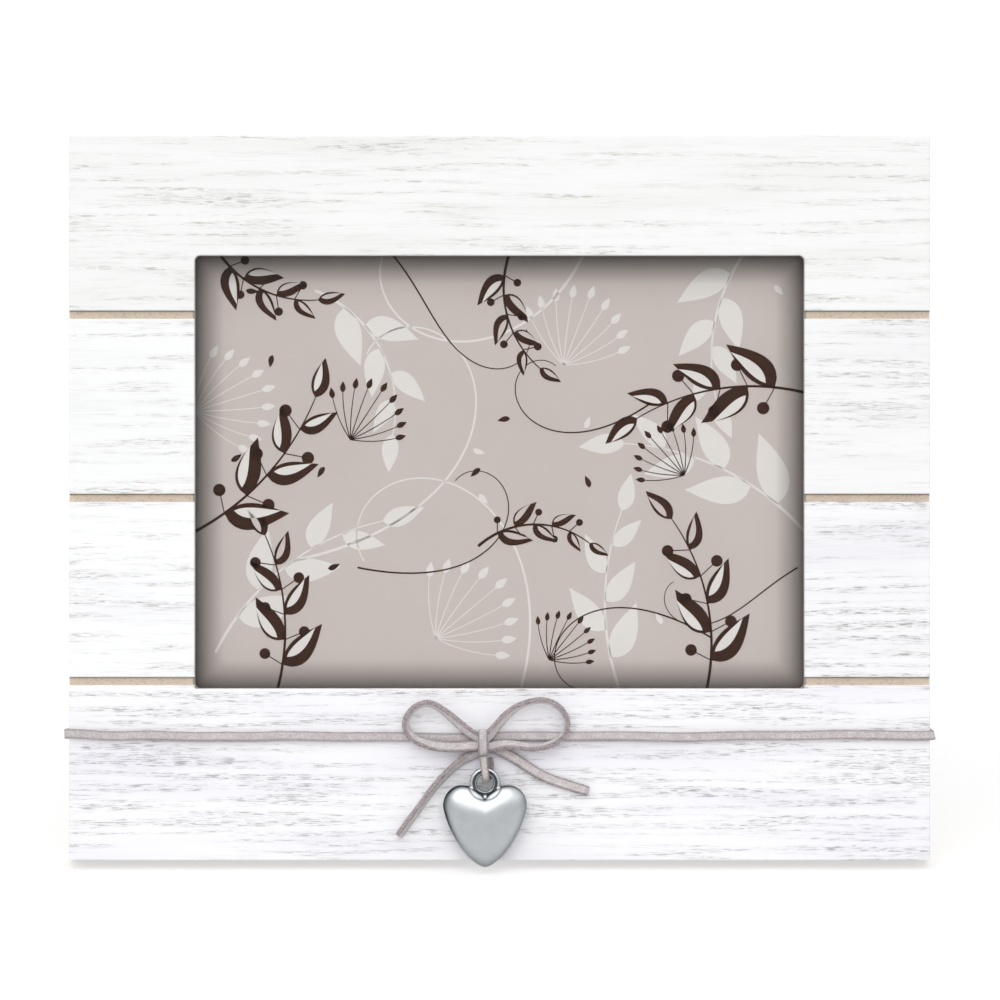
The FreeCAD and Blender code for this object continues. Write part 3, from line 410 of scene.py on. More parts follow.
seed_head(TWIGS, BROWN, -42, 118, 1.0, 16)
seed_head(TWIGS, BROWN, 52, 108, 2.3, 14)
seed_head(TWIGS, BROWN, 14, 56, 0.9, 13)
tendril(TWIGS, BROWN, -40, 82, -0.2, 74, 0.9, 10.5)
tendril(TWIGS, BROWN, 45, 130, -2.5, 66, -1.0, -11.0)
tendril(TWIGS, BROWN, -30, 170, -0.9, 62, -0.8, 12.0)
tendril(TWIGS, BROWN, 60, 62, 2.6, 70, 0.9, 10.0)
tendril(TWIGS, BROWN, 84, 82, -2.6, 52, 0.7, -12.0, 0.45)
scatter = random.Random(11)
for drop in range(13):
    spot = (scatter.uniform(-78, 78), scatter.uniform(56, 162), scatter.uniform(0, 6.2))
    draw(TWIGS, BROWN if drop % 3 else CREAM, turned(leaf(3.6, 1.6, 0.2), *spot))

# The paper, and on its face each layer of ink a hundredth of a millimetre above the last.
SHEET_HALF_WIDE, SHEET_LOW, SHEET_HIGH = 88.9, 45.36, 172.34
SHEET_FRONT, SHEET_BACK = 10.07, 10.29
INK_DEPTH, INK_STEP = 10.056, 0.012
INK_HALF_WIDE, INK_LOW, INK_HIGH = 88.8, 45.5, 172.2
SLIVER = 0.02
sheet = bmesh.new()


def flat_face(outline, y, ink):
    """A shape of ink, trimmed where it would run past the edge of the paper."""
    held = []
    for u, v in outline:
        held.append((
            max(-INK_HALF_WIDE, min(INK_HALF_WIDE, u)), max(INK_LOW, min(INK_HIGH, v))))
    if max(u for u, _ in held) - min(u for u, _ in held) < SLIVER:
        return
    if max(v for _, v in held) - min(v for _, v in held) < SLIVER:
        return
    face = sheet.faces.new([sheet.verts.new(on_board(u, y, v)) for u, v in held])
    face.material_index = ink
    face.normal_update()
    if face.normal.dot(INWARD) > 0:
        face.normal_flip()


paper_corners = [
    (-SHEET_HALF_WIDE, SHEET_LOW), (SHEET_HALF_WIDE, SHEET_LOW),
    (SHEET_HALF_WIDE, SHEET_HIGH), (-SHEET_HALF_WIDE, SHEET_HIGH)]
front, back = [
    [sheet.verts.new(on_board(u, y, v)) for u, v in paper_corners]
    for y in (SHEET_FRONT, SHEET_BACK)]
sheet.faces.new(front)
sheet.faces.new(list(reversed(back)))
for side in range(4):
    after = (side + 1) % 4
    sheet.faces.new([front[after], front[side], back[side], back[after]])
for layer, ink, outline in shapes:
    flat_face(outline, INK_DEPTH - INK_STEP * layer, ink)
print_mesh = bpy.data.meshes.new("printed_sheet")
sheet.to_mesh(print_mesh)
sheet.free()
for ink_name, shade in INKS:
    print_mesh.materials.append(printed_ink(ink_name, shade))


def put(name, data):
    """An object of this mesh, lamp or camera, set in the scene."""
    item = bpy.data.objects.new(name, data)
    bpy.context.scene.collection.objects.link(item)
    return item


print_sheet = put("printed_sheet", print_mesh)
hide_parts("photo_insert")
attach(print_sheet, "frame")


# Backing card. A millimetre of grey-brown board lies between the print and the back panel
# and presses the paper flat against the glass.
def grey_card():
    finish, skin = new_finish("grey_card", 0.9)
    place = board_place(finish)
    pulp = cloud(finish, place, 700, 4)
    shade = blend_paint(finish, pulp, paint(168, 152, 130), paint(200, 184, 160))
    plug(finish, skin.inputs["Base Color"], shade)
    relief(finish, skin, pulp, 0.0001, 0.4)
    return finish


coat("backing_card", grey_card())


# Back panel and easel leg. Both are hardboard, lapped on the show side in black paper with
# a fine pressed grain; their cut edges show the brown board.
def black_lapped_board(name, across):
    """The black paper is on the faces that look along 'across', and bare board on the rest."""
    finish, skin = new_finish(name, 0.72)
    here = board_place(finish)
    weft = cloud(finish, here, (500, 2600, 2600), 2)
    warp = cloud(finish, here, (2600, 2600, 500), 2)
    press = sums(finish, "MAXIMUM", weft, warp)
    scuff = fade(finish, cloud(finish, here, (40, 40, 130), 4), 0.6, 0.78)
    black = blend_paint(finish, press, paint(34, 34, 37), paint(62, 61, 64))
    black = blend_paint(finish, sums(finish, "MULTIPLY", scuff, 0.35), black, paint(96, 92, 90))
    looks = add(finish, "TexCoord").outputs["Normal"]
    facing = add(finish, "VectorMath", (0, looks), (1, across), operation="DOT_PRODUCT")
    edge = sums(finish, "ABSOLUTE", facing.outputs["Value"])
    edge = fade(finish, edge, 0.5, 0.8, 1.0, 0.0)
    board = blend_paint(
        finish, cloud(finish, here, 900, 3), paint(98, 70, 48), paint(138, 104, 74))
    plug(finish, skin.inputs["Base Color"], blend_paint(finish, edge, black, board))
    relief(finish, skin, press, 0.00008, 0.5)
    return finish


LEG_SPLAY = math.radians(23) - LEAN
coat("back_panel", black_lapped_board("lapped_panel", INWARD))
coat("easel_leg", black_lapped_board(
    "lapped_leg", (0, math.cos(LEG_SPLAY), math.sin(LEG_SPLAY))))


# Turn buttons, screws, hinge, rivets, sawtooth hanger, nails and staples. All are stamped or
# drawn mild steel, zinc plated and dulled by handling; the screws and nails are driven into
# the back of the board.
def zinc_plate(name, shade, rough, brushed):
    """Brushed is how many fine scratches there are to the metre, each way."""
    finish, skin = new_finish(name, rough)
    skin.inputs["Metallic"].default_value = 1.0
    place = board_place(finish)
    bloom = cloud(finish, place, 260, 3)
    line = cloud(finish, place, brushed, 2)
    tone = blend_paint(finish, bloom, darker(shade, 0.86), paint(*shade))
    spot = fade(finish, cloud(finish, place, 1500, 2), 0.66, 0.78)
    tone = blend_paint(finish, sums(finish, "MULTIPLY", spot, 0.3), tone, paint(120, 116, 108))
    plug(finish, skin.inputs["Base Color"], tone)
    dull = sums(finish, "MULTIPLY_ADD", bloom, 0.22, rough - 0.11)
    plug(finish, skin.inputs["Roughness"], dull)
    relief(finish, skin, line, 0.00003, 0.5)
    return finish


plate = zinc_plate("zinc_plate", (204, 205, 204), 0.38, (300, 300, 3500))
bright = zinc_plate("bright_steel", (214, 214, 212), 0.3, (900, 900, 900))
for stamped in ("button_upper_left", "button_upper_right", "button_lower_left",
                "button_lower_right", "hinge_fixed_leaf", "hinge_moving_leaf",
                "sawtooth_hanger"):
    coat(stamped, plate)
for driven in ("button_screws", "hinge_pin", "hinge_panel_rivets", "hinge_leg_rivets",
               "hanger_nails", "band_staples"):
    coat(driven, bright)


# Cord band. A flat suede cord, 2.65 by 1.35 mm, pulled once round the bottom slat and stapled
# to the back at both ends. Suede is split hide: a napped face, and cut edges where the darker
# fibres stand out.
def suede(name, nap, shade, edge, mottle=0.5):
    """Nap and shade are the napped face, stroked both ways; edge is the cut side, and mottle
    how blotched it is."""
    finish, skin = new_finish(name, 0.92)
    skin.inputs["Sheen Weight"].default_value = 0.25
    skin.inputs["Sheen Roughness"].default_value = 0.5
    here = add(finish, "TexCoord").outputs["Object"]
    fluff = fade(finish, cloud(finish, here, 2900, 3, 0.75), 0.38, 0.62)
    stroked = cloud(finish, here, 420, 3)
    cut = add(finish, "Attribute", attribute_name="cut").outputs["Fac"]
    face = blend_paint(finish, fade(finish, stroked, 0.35, 0.65), paint(*shade), paint(*nap))
    speck = sums(finish, "MULTIPLY", fluff, 0.7)
    face = blend_paint(finish, speck, face, darker(shade, 0.79))
    blot = fade(finish, cloud(finish, here, 1900, 3), 0.4, 0.6)
    blot = sums(finish, "MULTIPLY", blot, mottle)
    side = blend_paint(finish, blot, paint(*edge), darker(edge, 0.7))
    side = blend_paint(finish, sums(finish, "MULTIPLY", fluff, 0.55), side, paint(*shade))
    plug(finish, skin.inputs["Base Color"], blend_paint(finish, cut, face, side))
    relief(finish, skin, fluff, 0.00012, 0.7)
    return finish


def strap_section(wide, thick, corner):
    """The cord cut across: four round corners, and points along the crowned flats."""
    around = []
    crown = 1.015
    for sign_u, sign_v, start in ((1, 1, 0), (-1, 1, 90), (-1, -1, 180), (1, -1, 270)):
        for step in range(4):
            angle = math.radians(start + step * 30)
            around.append((
                sign_u * (wide / 2 - corner) + corner * math.cos(angle),
                sign_v * (thick / 2 - corner) + corner * math.sin(angle)))
        if sign_u == sign_v:
            for share in (0.66, 0.33, 0.0, -0.33, -0.66):
                around.append((
                    sign_u * share * (wide / 2 - corner), sign_v * thick / 2 * crown))
    return around


def strap(name, line, faces, wide, thick, finish, ends=(0.12, 0.12), ruffle=0.04):
    """A flat cord along line; faces are the directions in which its napped side looks, ends
    how much it is drawn in at either end, and ruffle how uneven its edges are."""
    corner = 0.42 * thick / 2
    around = strap_section(wide, thick, corner)
    mesh = bmesh.new()
    cut = mesh.verts.layers.float.new("cut")
    rough = random.Random(name)
    rings = []
    last = len(line) - 1
    for index, (point, face) in enumerate(zip(line, faces)):
        ahead = (line[min(index + 1, last)] - line[max(index - 1, 0)]).normalized()
        up = (face - ahead * face.dot(ahead)).normalized()
        across = ahead.cross(up)
        tight = {0: 1 - ends[0], last: 1 - ends[1]}.get(index, 1.0)
        ring_here = []
        for u, v in around:
            frill = 1 + rough.uniform(-ruffle, ruffle) * (1 if abs(u) > wide * 0.36 else 0.3)
            spot = point + (across * u * tight * frill + up * v * tight) / 1000
            vertex = mesh.verts.new(spot)
            vertex[cut] = 1.0 if abs(u) > wide / 2 - corner * 1.05 else 0.0
            ring_here.append(vertex)
        rings.append(ring_here)
    size = len(around)
    for before, after in zip(rings, rings[1:]):
        for side in range(size):
            nearby = (side + 1) % size
            mesh.faces.new([before[side], before[nearby], after[nearby], after[side]])
    for end in (rings[0], rings[-1]):
        tip = mesh.verts.new(sum((vertex.co for vertex in end), Vector()) / size)
        tip[cut] = 1.0
        for side in range(size):
            mesh.faces.new([end[side], end[(side + 1) % size], tip])
    bmesh.ops.recalc_face_normals(mesh, faces=mesh.faces)
    for face in mesh.faces:
        face.smooth = True
    data = bpy.data.meshes.new(name)
    mesh.to_mesh(data)
    mesh.free()
    data.materials.append(finish)
    piece = put(name, data)
    return piece


BAND_LEVEL = 35.25
HALF_BOARD = 120.65
BOARD_DEEP = 14.0
HALF_CORD = 0.675
EDGE_ROUND = 0.4
BACK_END = 99.6
BAND_REACH = 121.0
HANG, HANG_TO_LEFT = 0.62, 0.35
band_suede = suede("band_suede", (233, 225, 225), (218, 210, 210), (168, 157, 161))
bend_radius = EDGE_ROUND + HALF_CORD
turn_x = -HALF_BOARD + EDGE_ROUND
side_run = BOARD_DEEP - 2 * EDGE_ROUND


def round_edge(y, start):
    """The cord's quarter turn round an edge of the board, at 9 points."""
    turns = [math.radians(start + step * 90 / 8) for step in range(9)]
    return [
        (turn_x + bend_radius * math.cos(a), y + bend_radius * math.sin(a),
         math.cos(a), math.sin(a))
        for a in turns]


# Across the back, round the left side and halfway over the front; the right half mirrors it.
route = []
for step in range(9):
    x = -BACK_END - step * (HALF_BOARD - BACK_END - 0.5) / 8
    route.append((x, BOARD_DEEP + HALF_CORD, 0, 1))
route += round_edge(BOARD_DEEP - EDGE_ROUND, 90)
for step in range(1, 12):
    y = BOARD_DEEP - EDGE_ROUND - step * side_run / 12
    route.append((-HALF_BOARD - HALF_CORD, y, -1, 0))
route += round_edge(EDGE_ROUND, 180)
for step in range(1, 75):
    route.append((turn_x - step * turn_x / 75, -HALF_CORD, 0, -1))
route = route + [(0, -HALF_CORD, 0, -1)] + [(-x, y, -u, v) for x, y, u, v in reversed(route)]
band_line = []
band_faces = []
for x, y, u, v in route:
    sag = 0.16 * math.sin(x / 11.0) + 0.12 * math.sin(x / 5.1 + 1.0)
    if x < -60:
        sag += 0.12 * math.sin(x / 3.3)
    loose = 0.05 * math.sin(x / 7.0) if v == -1 else 0.0
    share = x / BAND_REACH
    hang = -HANG * (1 - share * share) * (1 - HANG_TO_LEFT * share) if v < 0 else 0.0
    level = BAND_LEVEL + hang + sag * (1 if v < 0 else 0.3)
    band_line.append(on_board(x, y + min(loose, 0), level))
    tilt = 0.16 * math.sin(x / 16.0)
    band_faces.append(Vector((u, 0, 0)) + INWARD * v + UPWARD * (tilt + 0.12))
band = strap("cord_strand_band", band_line, band_faces, 2.62, 1.3, band_suede)
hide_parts("cord_band")
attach(band, "frame")


# Bow. One length of the same cord is folded into two loops and two tails. The loops stand on
# their edge at their far ends and turn flat where they come into the knot; the left tail
# stays on its edge and the right one lies flat. Suede takes its bends slowly and keeps them.
bow_suede = suede("bow_suede", (241, 233, 233), (224, 214, 215), (160, 146, 151), 0.95)
LOOP_DEPTH = -2.729


def smooth_line(route, depth):
    """Points along a smooth curve that the route pulls to itself, at one depth of the board."""
    curve = bpy.data.curves.new("strand_line", "CURVE")
    curve.dimensions = "3D"
    curve.resolution_u = 10
    spline = curve.splines.new("NURBS")
    spline.points.add(len(route) - 1)
    for point, (x, z) in zip(spline.points, route):
        point.co = (*on_board(x * 1000, depth, z * 1000), 1)
    spline.order_u = 3
    spline.use_endpoint_u = True
    holder = bpy.data.objects.new("strand_line", curve)
    drawn = bpy.data.meshes.new_from_object(holder)
    line = [vertex.co.copy() for vertex in drawn.vertices]
    bpy.data.objects.remove(holder)
    bpy.data.curves.remove(curve)
    bpy.data.meshes.remove(drawn)
    return line


def turn_at(twist, share):
    """The strand's turn about its own line, in radians, eased between the twist's steps."""
    for (low, first), (high, last) in zip(twist, twist[1:]):
        if low <= share <= high:
            part = (share - low) / (high - low)
            part = part * part * (3 - 2 * part)
            angle = math.radians(first + (last - first) * part)
    return angle


def strand(name, route, depth, inner, twist):
    """One strand of the bow. Inner is the side of the route that its face turns to, and twist
    has pairs of a share of its length and the degrees that it has turned there."""
    line = smooth_line(route, depth)
    reach = [0.0]
    for before, after in zip(line, line[1:]):
        reach.append(reach[-1] + (after - before).length)
    faces = []
    for index in range(len(line)):
        ahead = line[min(index + 1, len(line) - 1)] - line[max(index - 1, 0)]
        angle = turn_at(twist, reach[index] / reach[-1])
        within = ahead.cross(INWARD).normalized() * inner
        faces.append(-INWARD * math.cos(angle) + within * math.sin(angle))
    piece = strap(name, line, faces, 2.8, 1.35, bow_suede, ruffle=0.05)
    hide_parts(name.replace("strand", "bow"))
    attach(piece, "frame")


LEFT_LOOP = [
    (-0.0046, 0.0336), (-0.0089, 0.0361), (-0.0136, 0.0404), (-0.0170, 0.0431),
    (-0.0203, 0.0444), (-0.0238, 0.0431), (-0.0261, 0.0404), (-0.0265, 0.0373),
    (-0.0247, 0.0346), (-0.0209, 0.0327), (-0.0163, 0.0319), (-0.0115, 0.0318),
    (-0.0078, 0.0322), (-0.0046, 0.0323),
]
RIGHT_LOOP = [
    (-0.0046, 0.0332), (-0.0019, 0.0363), (0.0010, 0.0399), (0.0044, 0.0429),
    (0.0084, 0.0446), (0.0124, 0.0451), (0.0162, 0.0437), (0.0187, 0.0407),
    (0.0192, 0.0373), (0.0174, 0.0342), (0.0136, 0.0322), (0.0090, 0.0316),
    (0.0044, 0.0325), (-0.0002, 0.0326), (-0.0046, 0.0314),
]
RIGHT_TAIL = [
    (-0.0046, 0.0325), (-0.0004, 0.0311), (0.0050, 0.0282), (0.0106, 0.0243),
    (0.0166, 0.0218), (0.0249, 0.0194),
]
LEFT_TAIL = [
    (-0.0046, 0.0309), (-0.0086, 0.0294), (-0.0132, 0.0261), (-0.0186, 0.0204),
    (-0.0224, 0.0149), (-0.0254, 0.0109), (-0.0283, 0.0069),
]
strand(
    "strand_loop_left", LEFT_LOOP, LOOP_DEPTH, 1,
    ((0, 35), (0.12, 45), (0.3, 68), (0.5, 76), (0.66, 50), (0.78, 22), (1, 15)))
strand(
    "strand_loop_right", RIGHT_LOOP, LOOP_DEPTH, -1,
    ((0, 30), (0.12, 50), (0.3, 74), (0.55, 80), (0.68, 70), (0.84, 50), (1, 25)))
strand(
    "strand_tail_right", RIGHT_TAIL, -0.72, 1,
    ((0, 15), (0.4, 14), (0.7, 8), (1, 10)))
strand(
    "strand_tail_left", LEFT_TAIL, -1.4, 1,
    ((0, 35), (0.25, 60), (0.6, 68), (1, 62)))


# Knot. A short end of the cord is wrapped over the crossing strands and tucked in behind the
# band, so that it stands up as a flat bar with a crease at its foot. A fold of the cord inside
# fills it out.
def bent_strap(name, spots, wide, thick, finish, faces_out, **extra):
    """A strap along points of the board, smoothed between them."""
    line = []
    faces = []
    steps = 8
    last = len(spots) - 1
    for index in range(last):
        a = Vector(spots[max(index - 1, 0)])
        b = Vector(spots[index])
        c = Vector(spots[index + 1])
        e = Vector(spots[min(index + 2, last)])
        for step in range(steps + (1 if index == last - 1 else 0)):
            t = step / steps
            point = 0.5 * (2 * b + (c - a) * t + (2 * a - 5 * b + 4 * c - e) * t * t
                           + (3 * b - a - 3 * c + e) * t ** 3)
            line.append(on_board(*point))
            share = index + t
            low = faces_out[int(share)]
            high = faces_out[min(int(share) + 1, last)]
            face = Vector(low) * (1 - share % 1) + Vector(high) * (share % 1)
            faces.append(Vector((face.x, 0, 0)) + INWARD * face.y + UPWARD * face.z)
    return strap(name, line, faces, wide, thick, finish, **extra)


knot_suede = suede("knot_suede", (234, 227, 228), (212, 204, 206), (140, 128, 133), 0.6)
knot_spots = [
    (-4.6, -0.9, 36.0), (-4.6, -2.4, 36.18), (-4.62, -3.9, 36.02), (-4.65, -4.75, 35.2),
    (-4.62, -4.88, 33.2), (-4.58, -4.86, 31.4), (-4.6, -4.6, 30.6), (-4.6, -3.4, 30.1),
    (-4.6, -0.7, 30.1),
]
knot_faces = [
    (0, 0, 1), (0, 0, 1), (0, -0.6, 0.8), (0, -0.95, 0.3), (0, -1, 0), (0, -1, 0),
    (0, -0.85, -0.5), (0, -0.2, -1), (0, 0, -1),
]
wrap = bent_strap("knot_wrap", knot_spots, 2.7, 1.15, knot_suede, knot_faces)
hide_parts("bow_knot")
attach(wrap, "frame")
inner_spots = [
    (-4.6, -1.75, 30.75), (-4.62, -2.9, 31.6), (-4.6, -3.2, 33.1), (-4.58, -2.9, 34.7),
    (-4.6, -1.75, 35.4),
]
inner_faces = [(0, -0.5, -0.8), (0, -0.9, -0.3), (0, -1, 0), (0, -0.9, 0.3), (0, -0.5, 0.8)]
inner = bent_strap("knot_inner", inner_spots, 2.3, 1.9, knot_suede, inner_faces)
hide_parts("bow_knot")
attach(inner, "frame")


# Cord loop of the charm. A narrow end of the same suede hangs from the knot, goes through the
# ring of the heart and comes up again behind it, where it is in shade and shows its edge.
loop_suede = suede("loop_suede", (230, 222, 221), (204, 194, 194), (126, 108, 110), 0.7)
loop_spots = [
    (-4.45, -4.55, 29.05), (-4.4, -4.9, 28.1), (-4.25, -5.65, 26.5), (-4.05, -6.15, 25.1),
    (-3.9, -5.75, 23.75), (-3.75, -4.9, 23.05), (-3.6, -3.8, 22.9), (-3.3, -2.7, 23.35),
    (-2.9, -1.95, 24.4), (-2.45, -1.7, 26.0), (-2.4, -1.75, 27.6), (-2.9, -1.8, 28.9),
]
loop_faces = [
    (0, -1, 0.3), (0, -1, 0.4), (0, -1, 0.3), (0, -1, 0), (0, -0.7, -0.7), (0, -0.4, -0.9),
    (0, 0.1, -1), (0.2, 0.8, -0.6), (0.5, 0.8, -0.1), (0.9, 0.4, 0), (0.95, 0.3, 0),
    (0.9, 0.4, 0),
]
loop = bent_strap(
    "charm_strap", loop_spots, 2.15, 1.1, loop_suede, loop_faces, ends=(0.45, 0.4))
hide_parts("charm_loop")
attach(loop, "charm_loop")


# Heart charm. Pewter is cast in a two-part mould: a puffed heart and its hanging ring with a
# cove round it, in one piece. The casting is tumbled until it is satin bright and then
# darkened, and the dark stays in the cove and the cleft. The dark band along the rim, heaviest
# at the upper left, is a painted reflection of dark surroundings.
HEART_X, HEART_PLANE, HEART_LEVEL = -4.05, -4.0, 15.45
HALF_WIDE, HALF_THICK = 11.75, 3.58
LOBE_X, LOBE_HIGH, LOBE_INWARD = 6.6, 5.8, 7.03
TIP_DROP, FLANK_POWER, TIP_POWER = 17.15, 1.6, 0.72
CROWN_Z = -3.2
RING_LEVEL = 21.85
RING_UP = RING_LEVEL - HEART_LEVEL
COVE_RADIUS = 3.12
NUB_ASIDE, NUB_DROP, NUB_SIZE = 4.1, 1.75, (0.75, 0.75, 0.6)
SPUR_DROP, SPUR_SIZE = 4.1, (1.5, 0.95, 1.15)
RING_FRONT = [
    (2.3, 0.0), (2.32, 0.5), (2.42, 0.82), (2.62, 0.98), (2.85, 0.9), (3.0, 0.62),
    (COVE_RADIUS, 0.5), (3.25, 0.62), (3.45, 0.92), (3.75, 1.05), (4.05, 0.9), (4.27, 0.6),
    (4.35, 0.25),
]


def heart_rim():
    """The outline, from the cleft round the right lobe to the tip."""
    right = []
    steps = 180
    for step in range(steps + 1):
        x = HALF_WIDE * math.sin(math.pi / 2 * step / steps)
        along = (x - LOBE_X) / (HALF_WIDE - LOBE_X if x > LOBE_X else LOBE_INWARD)
        right.append((x, LOBE_HIGH * math.sqrt(max(0.0, 1 - along * along))))
    for step in range(1, steps + 1):
        x = HALF_WIDE * math.cos(math.pi / 2 * step / steps)
        share = max(0.0, 1 - (x / HALF_WIDE) ** FLANK_POWER)
        right.append((x, -TIP_DROP * share ** TIP_POWER))
    return right


def spoke_reach(count):
    """How far the rim is from the crown along each of so many spokes."""
    right = heart_rim()
    whole = right + [(-x, z) for x, z in right[-2:0:-1]]
    polar = sorted(
        (math.atan2(z - CROWN_Z, x) % (2 * math.pi), math.hypot(x, z - CROWN_Z))
        for x, z in whole)
    reach = []
    for spoke in range(count):
        angle = 2 * math.pi * spoke / count
        after = next((i for i, (a, _) in enumerate(polar) if a >= angle), 0)
        (a0, r0), (a1, r1) = polar[after - 1], polar[after]
        gap = (a1 - a0) % (2 * math.pi)
        share = ((angle - a0) % (2 * math.pi)) / gap if gap else 0
        reach.append(r0 + (r1 - r0) * share)
    return reach


def puffed_heart(mesh):
    """Rings of the rim drawn in towards the crown, where they grow round and rise."""
    count, levels = 240, 26
    reach = spoke_reach(count)
    soft = list(reach)
    for _ in range(260):
        soft = [(soft[i - 1] + 2 * soft[i] + soft[(i + 1) % count]) / 4 for i in range(count)]
    for face in (-1, 1):
        rings = []
        for level in range(1, levels + 1):
            share = math.sin(math.pi / 2 * level / levels)
            lift = HALF_THICK * (1 - share ** 2.05) ** 0.52
            hard = share ** 2.2
            ring_here = []
            for spoke in range(count):
                angle = 2 * math.pi * spoke / count
                far = share * (reach[spoke] * hard + soft[spoke] * (1 - hard))
                ring_here.append(mesh.verts.new((
                    far * math.cos(angle), face * lift, CROWN_Z + far * math.sin(angle))))
            rings.append(ring_here)
        top = mesh.verts.new((0, face * HALF_THICK, CROWN_Z))
        for spoke in range(count):
            after = (spoke + 1) % count
            mesh.faces.new([rings[0][spoke], rings[0][after], top])
            for low, high in zip(rings, rings[1:]):
                mesh.faces.new([low[spoke], low[after], high[after], high[spoke]])


def hanging_ring(mesh):
    """Two round ridges with a cove between them, turned about the ring's own axis."""
    count = 120
    profile = [(r, -y) for r, y in RING_FRONT] + [(r, y) for r, y in reversed(RING_FRONT[1:])]
    rings = []
    for spoke in range(count):
        angle = 2 * math.pi * spoke / count
        rings.append([
            mesh.verts.new((r * math.cos(angle), y, RING_UP + r * math.sin(angle)))
            for r, y in profile])
    for spoke in range(count):
        after = rings[(spoke + 1) % count]
        for index in range(len(profile)):
            nearby = (index + 1) % len(profile)
            mesh.faces.new([
                rings[spoke][index], rings[spoke][nearby], after[nearby], after[index]])


def lump(mesh, place, size):
    """A blunt bead of metal that the casting keeps where ring and heart meet."""
    bead = bmesh.ops.create_icosphere(mesh, subdivisions=3, radius=1.0)
    for vertex in bead["verts"]:
        vertex.co = Vector([p + along * half for p, along, half in zip(place, vertex.co, size)])


def cast_pewter():
    """Satin metal; a painted dark reflection lies along the rim, most at the upper left, and
    patina darkens the foot of the ring, its cove and its eye."""
    finish, skin = new_finish("cast_pewter", 0.3)
    skin.inputs["Metallic"].default_value = 1.0
    place = board_place(finish)
    split = add(finish, "SeparateXYZ", (0, place))
    across = sums(finish, "SUBTRACT", split.outputs[0], HEART_X / 1000)
    rise = sums(finish, "SUBTRACT", split.outputs[2], RING_LEVEL / 1000)
    proud = sums(finish, "SUBTRACT", HEART_PLANE / 1000, split.outputs[1])
    # Painted reflection: the rim is darkened as if it reflected something dark, most at the
    # upper left.
    painted_rim_reflection = fade(finish, sums(finish, "ABSOLUTE", proud), 0.0006, 0.0022, 1.0, 0.0)
    over = sums(finish, "MULTIPLY_ADD", rise, -1.0, across)
    painted_rim_reflection = sums(finish, "MULTIPLY", painted_rim_reflection, fade(finish, over, -0.002, 0.014, 1.15, 0.55))
    squared = sums(finish, "MULTIPLY_ADD", rise, rise, sums(finish, "MULTIPLY", across, across))
    radius = sums(finish, "SQRT", squared)
    off_cove = sums(finish, "SUBTRACT", radius, COVE_RADIUS / 1000)
    cove = fade(finish, sums(finish, "ABSOLUTE", off_cove), 0.00028, 0.0006, 1.0, 0.0)
    eye = fade(finish, radius, 0.0024, 0.0027, 1.0, 0.0)
    cove = sums(finish, "MAXIMUM", cove, eye)
    on_ring = fade(finish, radius, 0.0043, 0.0047, 1.0, 0.0)
    beside = fade(finish, radius, 0.0044, 0.0056, 1.0, 0.0)
    worn = cloud(finish, place, 320, 3)
    dark = blend_paint(finish, on_ring, sums(finish, "MAXIMUM", painted_rim_reflection, beside), cove)
    dark = sums(finish, "MULTIPLY", dark, sums(finish, "MULTIPLY_ADD", worn, 0.5, 0.65))
    silver = blend_paint(finish, worn, paint(176, 180, 183), paint(190, 193, 195))
    tone = blend_paint(finish, sums(finish, "MULTIPLY", dark, 0.97), silver, paint(50, 58, 62))
    plug(finish, skin.inputs["Base Color"], tone)
    dull = sums(finish, "MULTIPLY_ADD", dark, 0.15, 0.25)
    plug(finish, skin.inputs["Roughness"], dull)
    relief(finish, skin, cloud(finish, place, 500, 4), 0.00003, 0.3)
    return finish


cast = bmesh.new()
puffed_heart(cast)
hanging_ring(cast)
for side in (-1, 1):
    lump(cast, (side * NUB_ASIDE, -0.5, RING_UP - NUB_DROP), NUB_SIZE)
lump(cast, (0, -0.2, RING_UP - SPUR_DROP), SPUR_SIZE)
cast_mesh = bpy.data.meshes.new("cast_charm")
cast.to_mesh(cast_mesh)
cast.free()
rough_cast = put("rough_cast", cast_mesh)
fused = rough_cast.modifiers.new("fused", "REMESH")
fused.mode = "VOXEL"
fused.voxel_size = 0.15
tumbled = rough_cast.modifiers.new("tumbled", "SMOOTH")
tumbled.factor = 0.5
tumbled.iterations = 6
bpy.context.view_layer.update()
charm_mesh = bpy.data.meshes.new_from_object(
    rough_cast.evaluated_get(bpy.context.evaluated_depsgraph_get()))
bpy.data.objects.remove(rough_cast)
for vertex in charm_mesh.vertices:
    x, y, z = vertex.co
    vertex.co = on_board(HEART_X + x, HEART_PLANE + y, HEART_LEVEL + z)
charm_mesh.polygons.foreach_set("use_smooth", [True] * len(charm_mesh.polygons))
charm_mesh.materials.clear()
charm_mesh.materials.append(cast_pewter())
charm = put("cast_charm", charm_mesh)
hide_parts("heart_charm")
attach(charm, "heart_charm")


# Floor. A plain white table runs on behind the frame, with no edge in view. It throws light
# back up on to the frame, and keeps the frame's own shadow.
def seen_straight(finish):
    """One where the eye, a gloss or glass looks at it, and nought where it only lights."""
    ray = add(finish, "LightPath").outputs
    seen = sums(finish, "MAXIMUM", ray["Is Camera Ray"], ray["Is Glossy Ray"])
    return sums(finish, "MAXIMUM", seen, ray["Is Transmission Ray"])


def white_table():
    """Throws light back as a white floor does, and shines a little of its own to the eye."""
    finish, skin = new_finish("white_table", 0.9)
    skin.inputs["Specular IOR Level"].default_value = 0.0
    straight = seen_straight(finish)
    white = blend_paint(finish, straight, (0.88, 0.88, 0.88, 1), (0.42, 0.42, 0.42, 1))
    plug(finish, skin.inputs["Base Color"], white)
    skin.inputs["Emission Color"].default_value = (1, 1, 1, 1)
    plug(finish, skin.inputs["Emission Strength"], sums(finish, "MULTIPLY", straight, 0.62))
    return finish


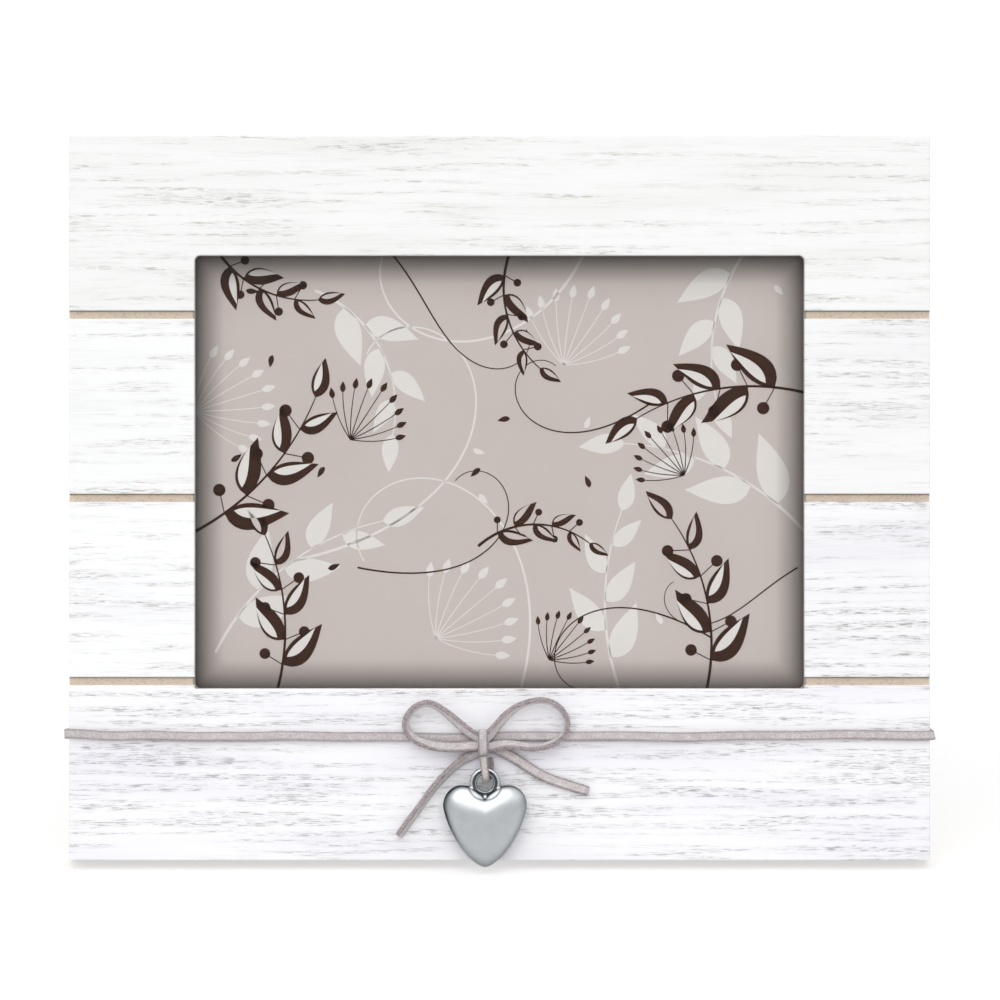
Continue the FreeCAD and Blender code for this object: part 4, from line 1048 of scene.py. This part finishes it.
TABLE_ASIDE, TABLE_NEAR, TABLE_FAR = 9, -6, 14
floor_mesh = bpy.data.meshes.new("table")
floor_mesh.from_pydata(
    [(-TABLE_ASIDE, TABLE_NEAR, 0), (TABLE_ASIDE, TABLE_NEAR, 0),
     (TABLE_ASIDE, TABLE_FAR, 0), (-TABLE_ASIDE, TABLE_FAR, 0)], [], [(0, 1, 2, 3)])
floor_mesh.materials.append(white_table())
floor = put("table", floor_mesh)


# Light. An even white room with a lighter ceiling, and one broad lamp above and to the left
# of the camera.
ROOM_LIGHT, ROOM_SEEN = 0.535, 0.95
CEILING_LOW, CEILING_HIGH, CEILING_LIGHT = 0.36, 0.52, 1.7
world = bpy.data.worlds.new("room")
bpy.context.scene.world = world
world.use_nodes = True
room = world.node_tree.nodes["Background"]
room.inputs["Color"].default_value = (1, 1, 1, 1)
room_level = add(
    world, "MapRange", ("Value", seen_straight(world)), ("To Min", ROOM_LIGHT),
    ("To Max", ROOM_SEEN))
way = add(world, "TexCoord").outputs["Generated"]
skyward = add(world, "SeparateXYZ", (0, way)).outputs[2]
ceiling = fade(world, skyward, CEILING_LOW, CEILING_HIGH, 1.0, CEILING_LIGHT)
plug(world, room.inputs["Strength"], sums(world, "MULTIPLY", room_level.outputs[0], ceiling))
lamp = bpy.data.lights.new("broad_lamp", "SUN")
lamp.energy = 0.9
lamp.angle = math.radians(62)
lamp_way = Vector((0.155, 0.66, -0.79))
put("broad_lamp", lamp).rotation_euler = lamp_way.to_track_quat("-Z", "Y").to_euler()


# Camera. A long lens two metres off, square on to the face of the frame, so that its sides
# stay straight and upright.
EYE = (0.14, -2000, 101.0)
camera_data = bpy.data.cameras.new("camera")
camera_data.sensor_width = 36
camera_data.lens = 256.9
camera_data.clip_end = 50
camera = put("camera", camera_data)
facing_board = Matrix(((1, 0, 0), UPWARD, -INWARD)).transposed().to_4x4()
camera.matrix_world = Matrix.Translation(on_board(*EYE)) @ facing_board
bpy.context.scene.camera = camera
bpy.context.scene.view_settings.view_transform = "Standard"
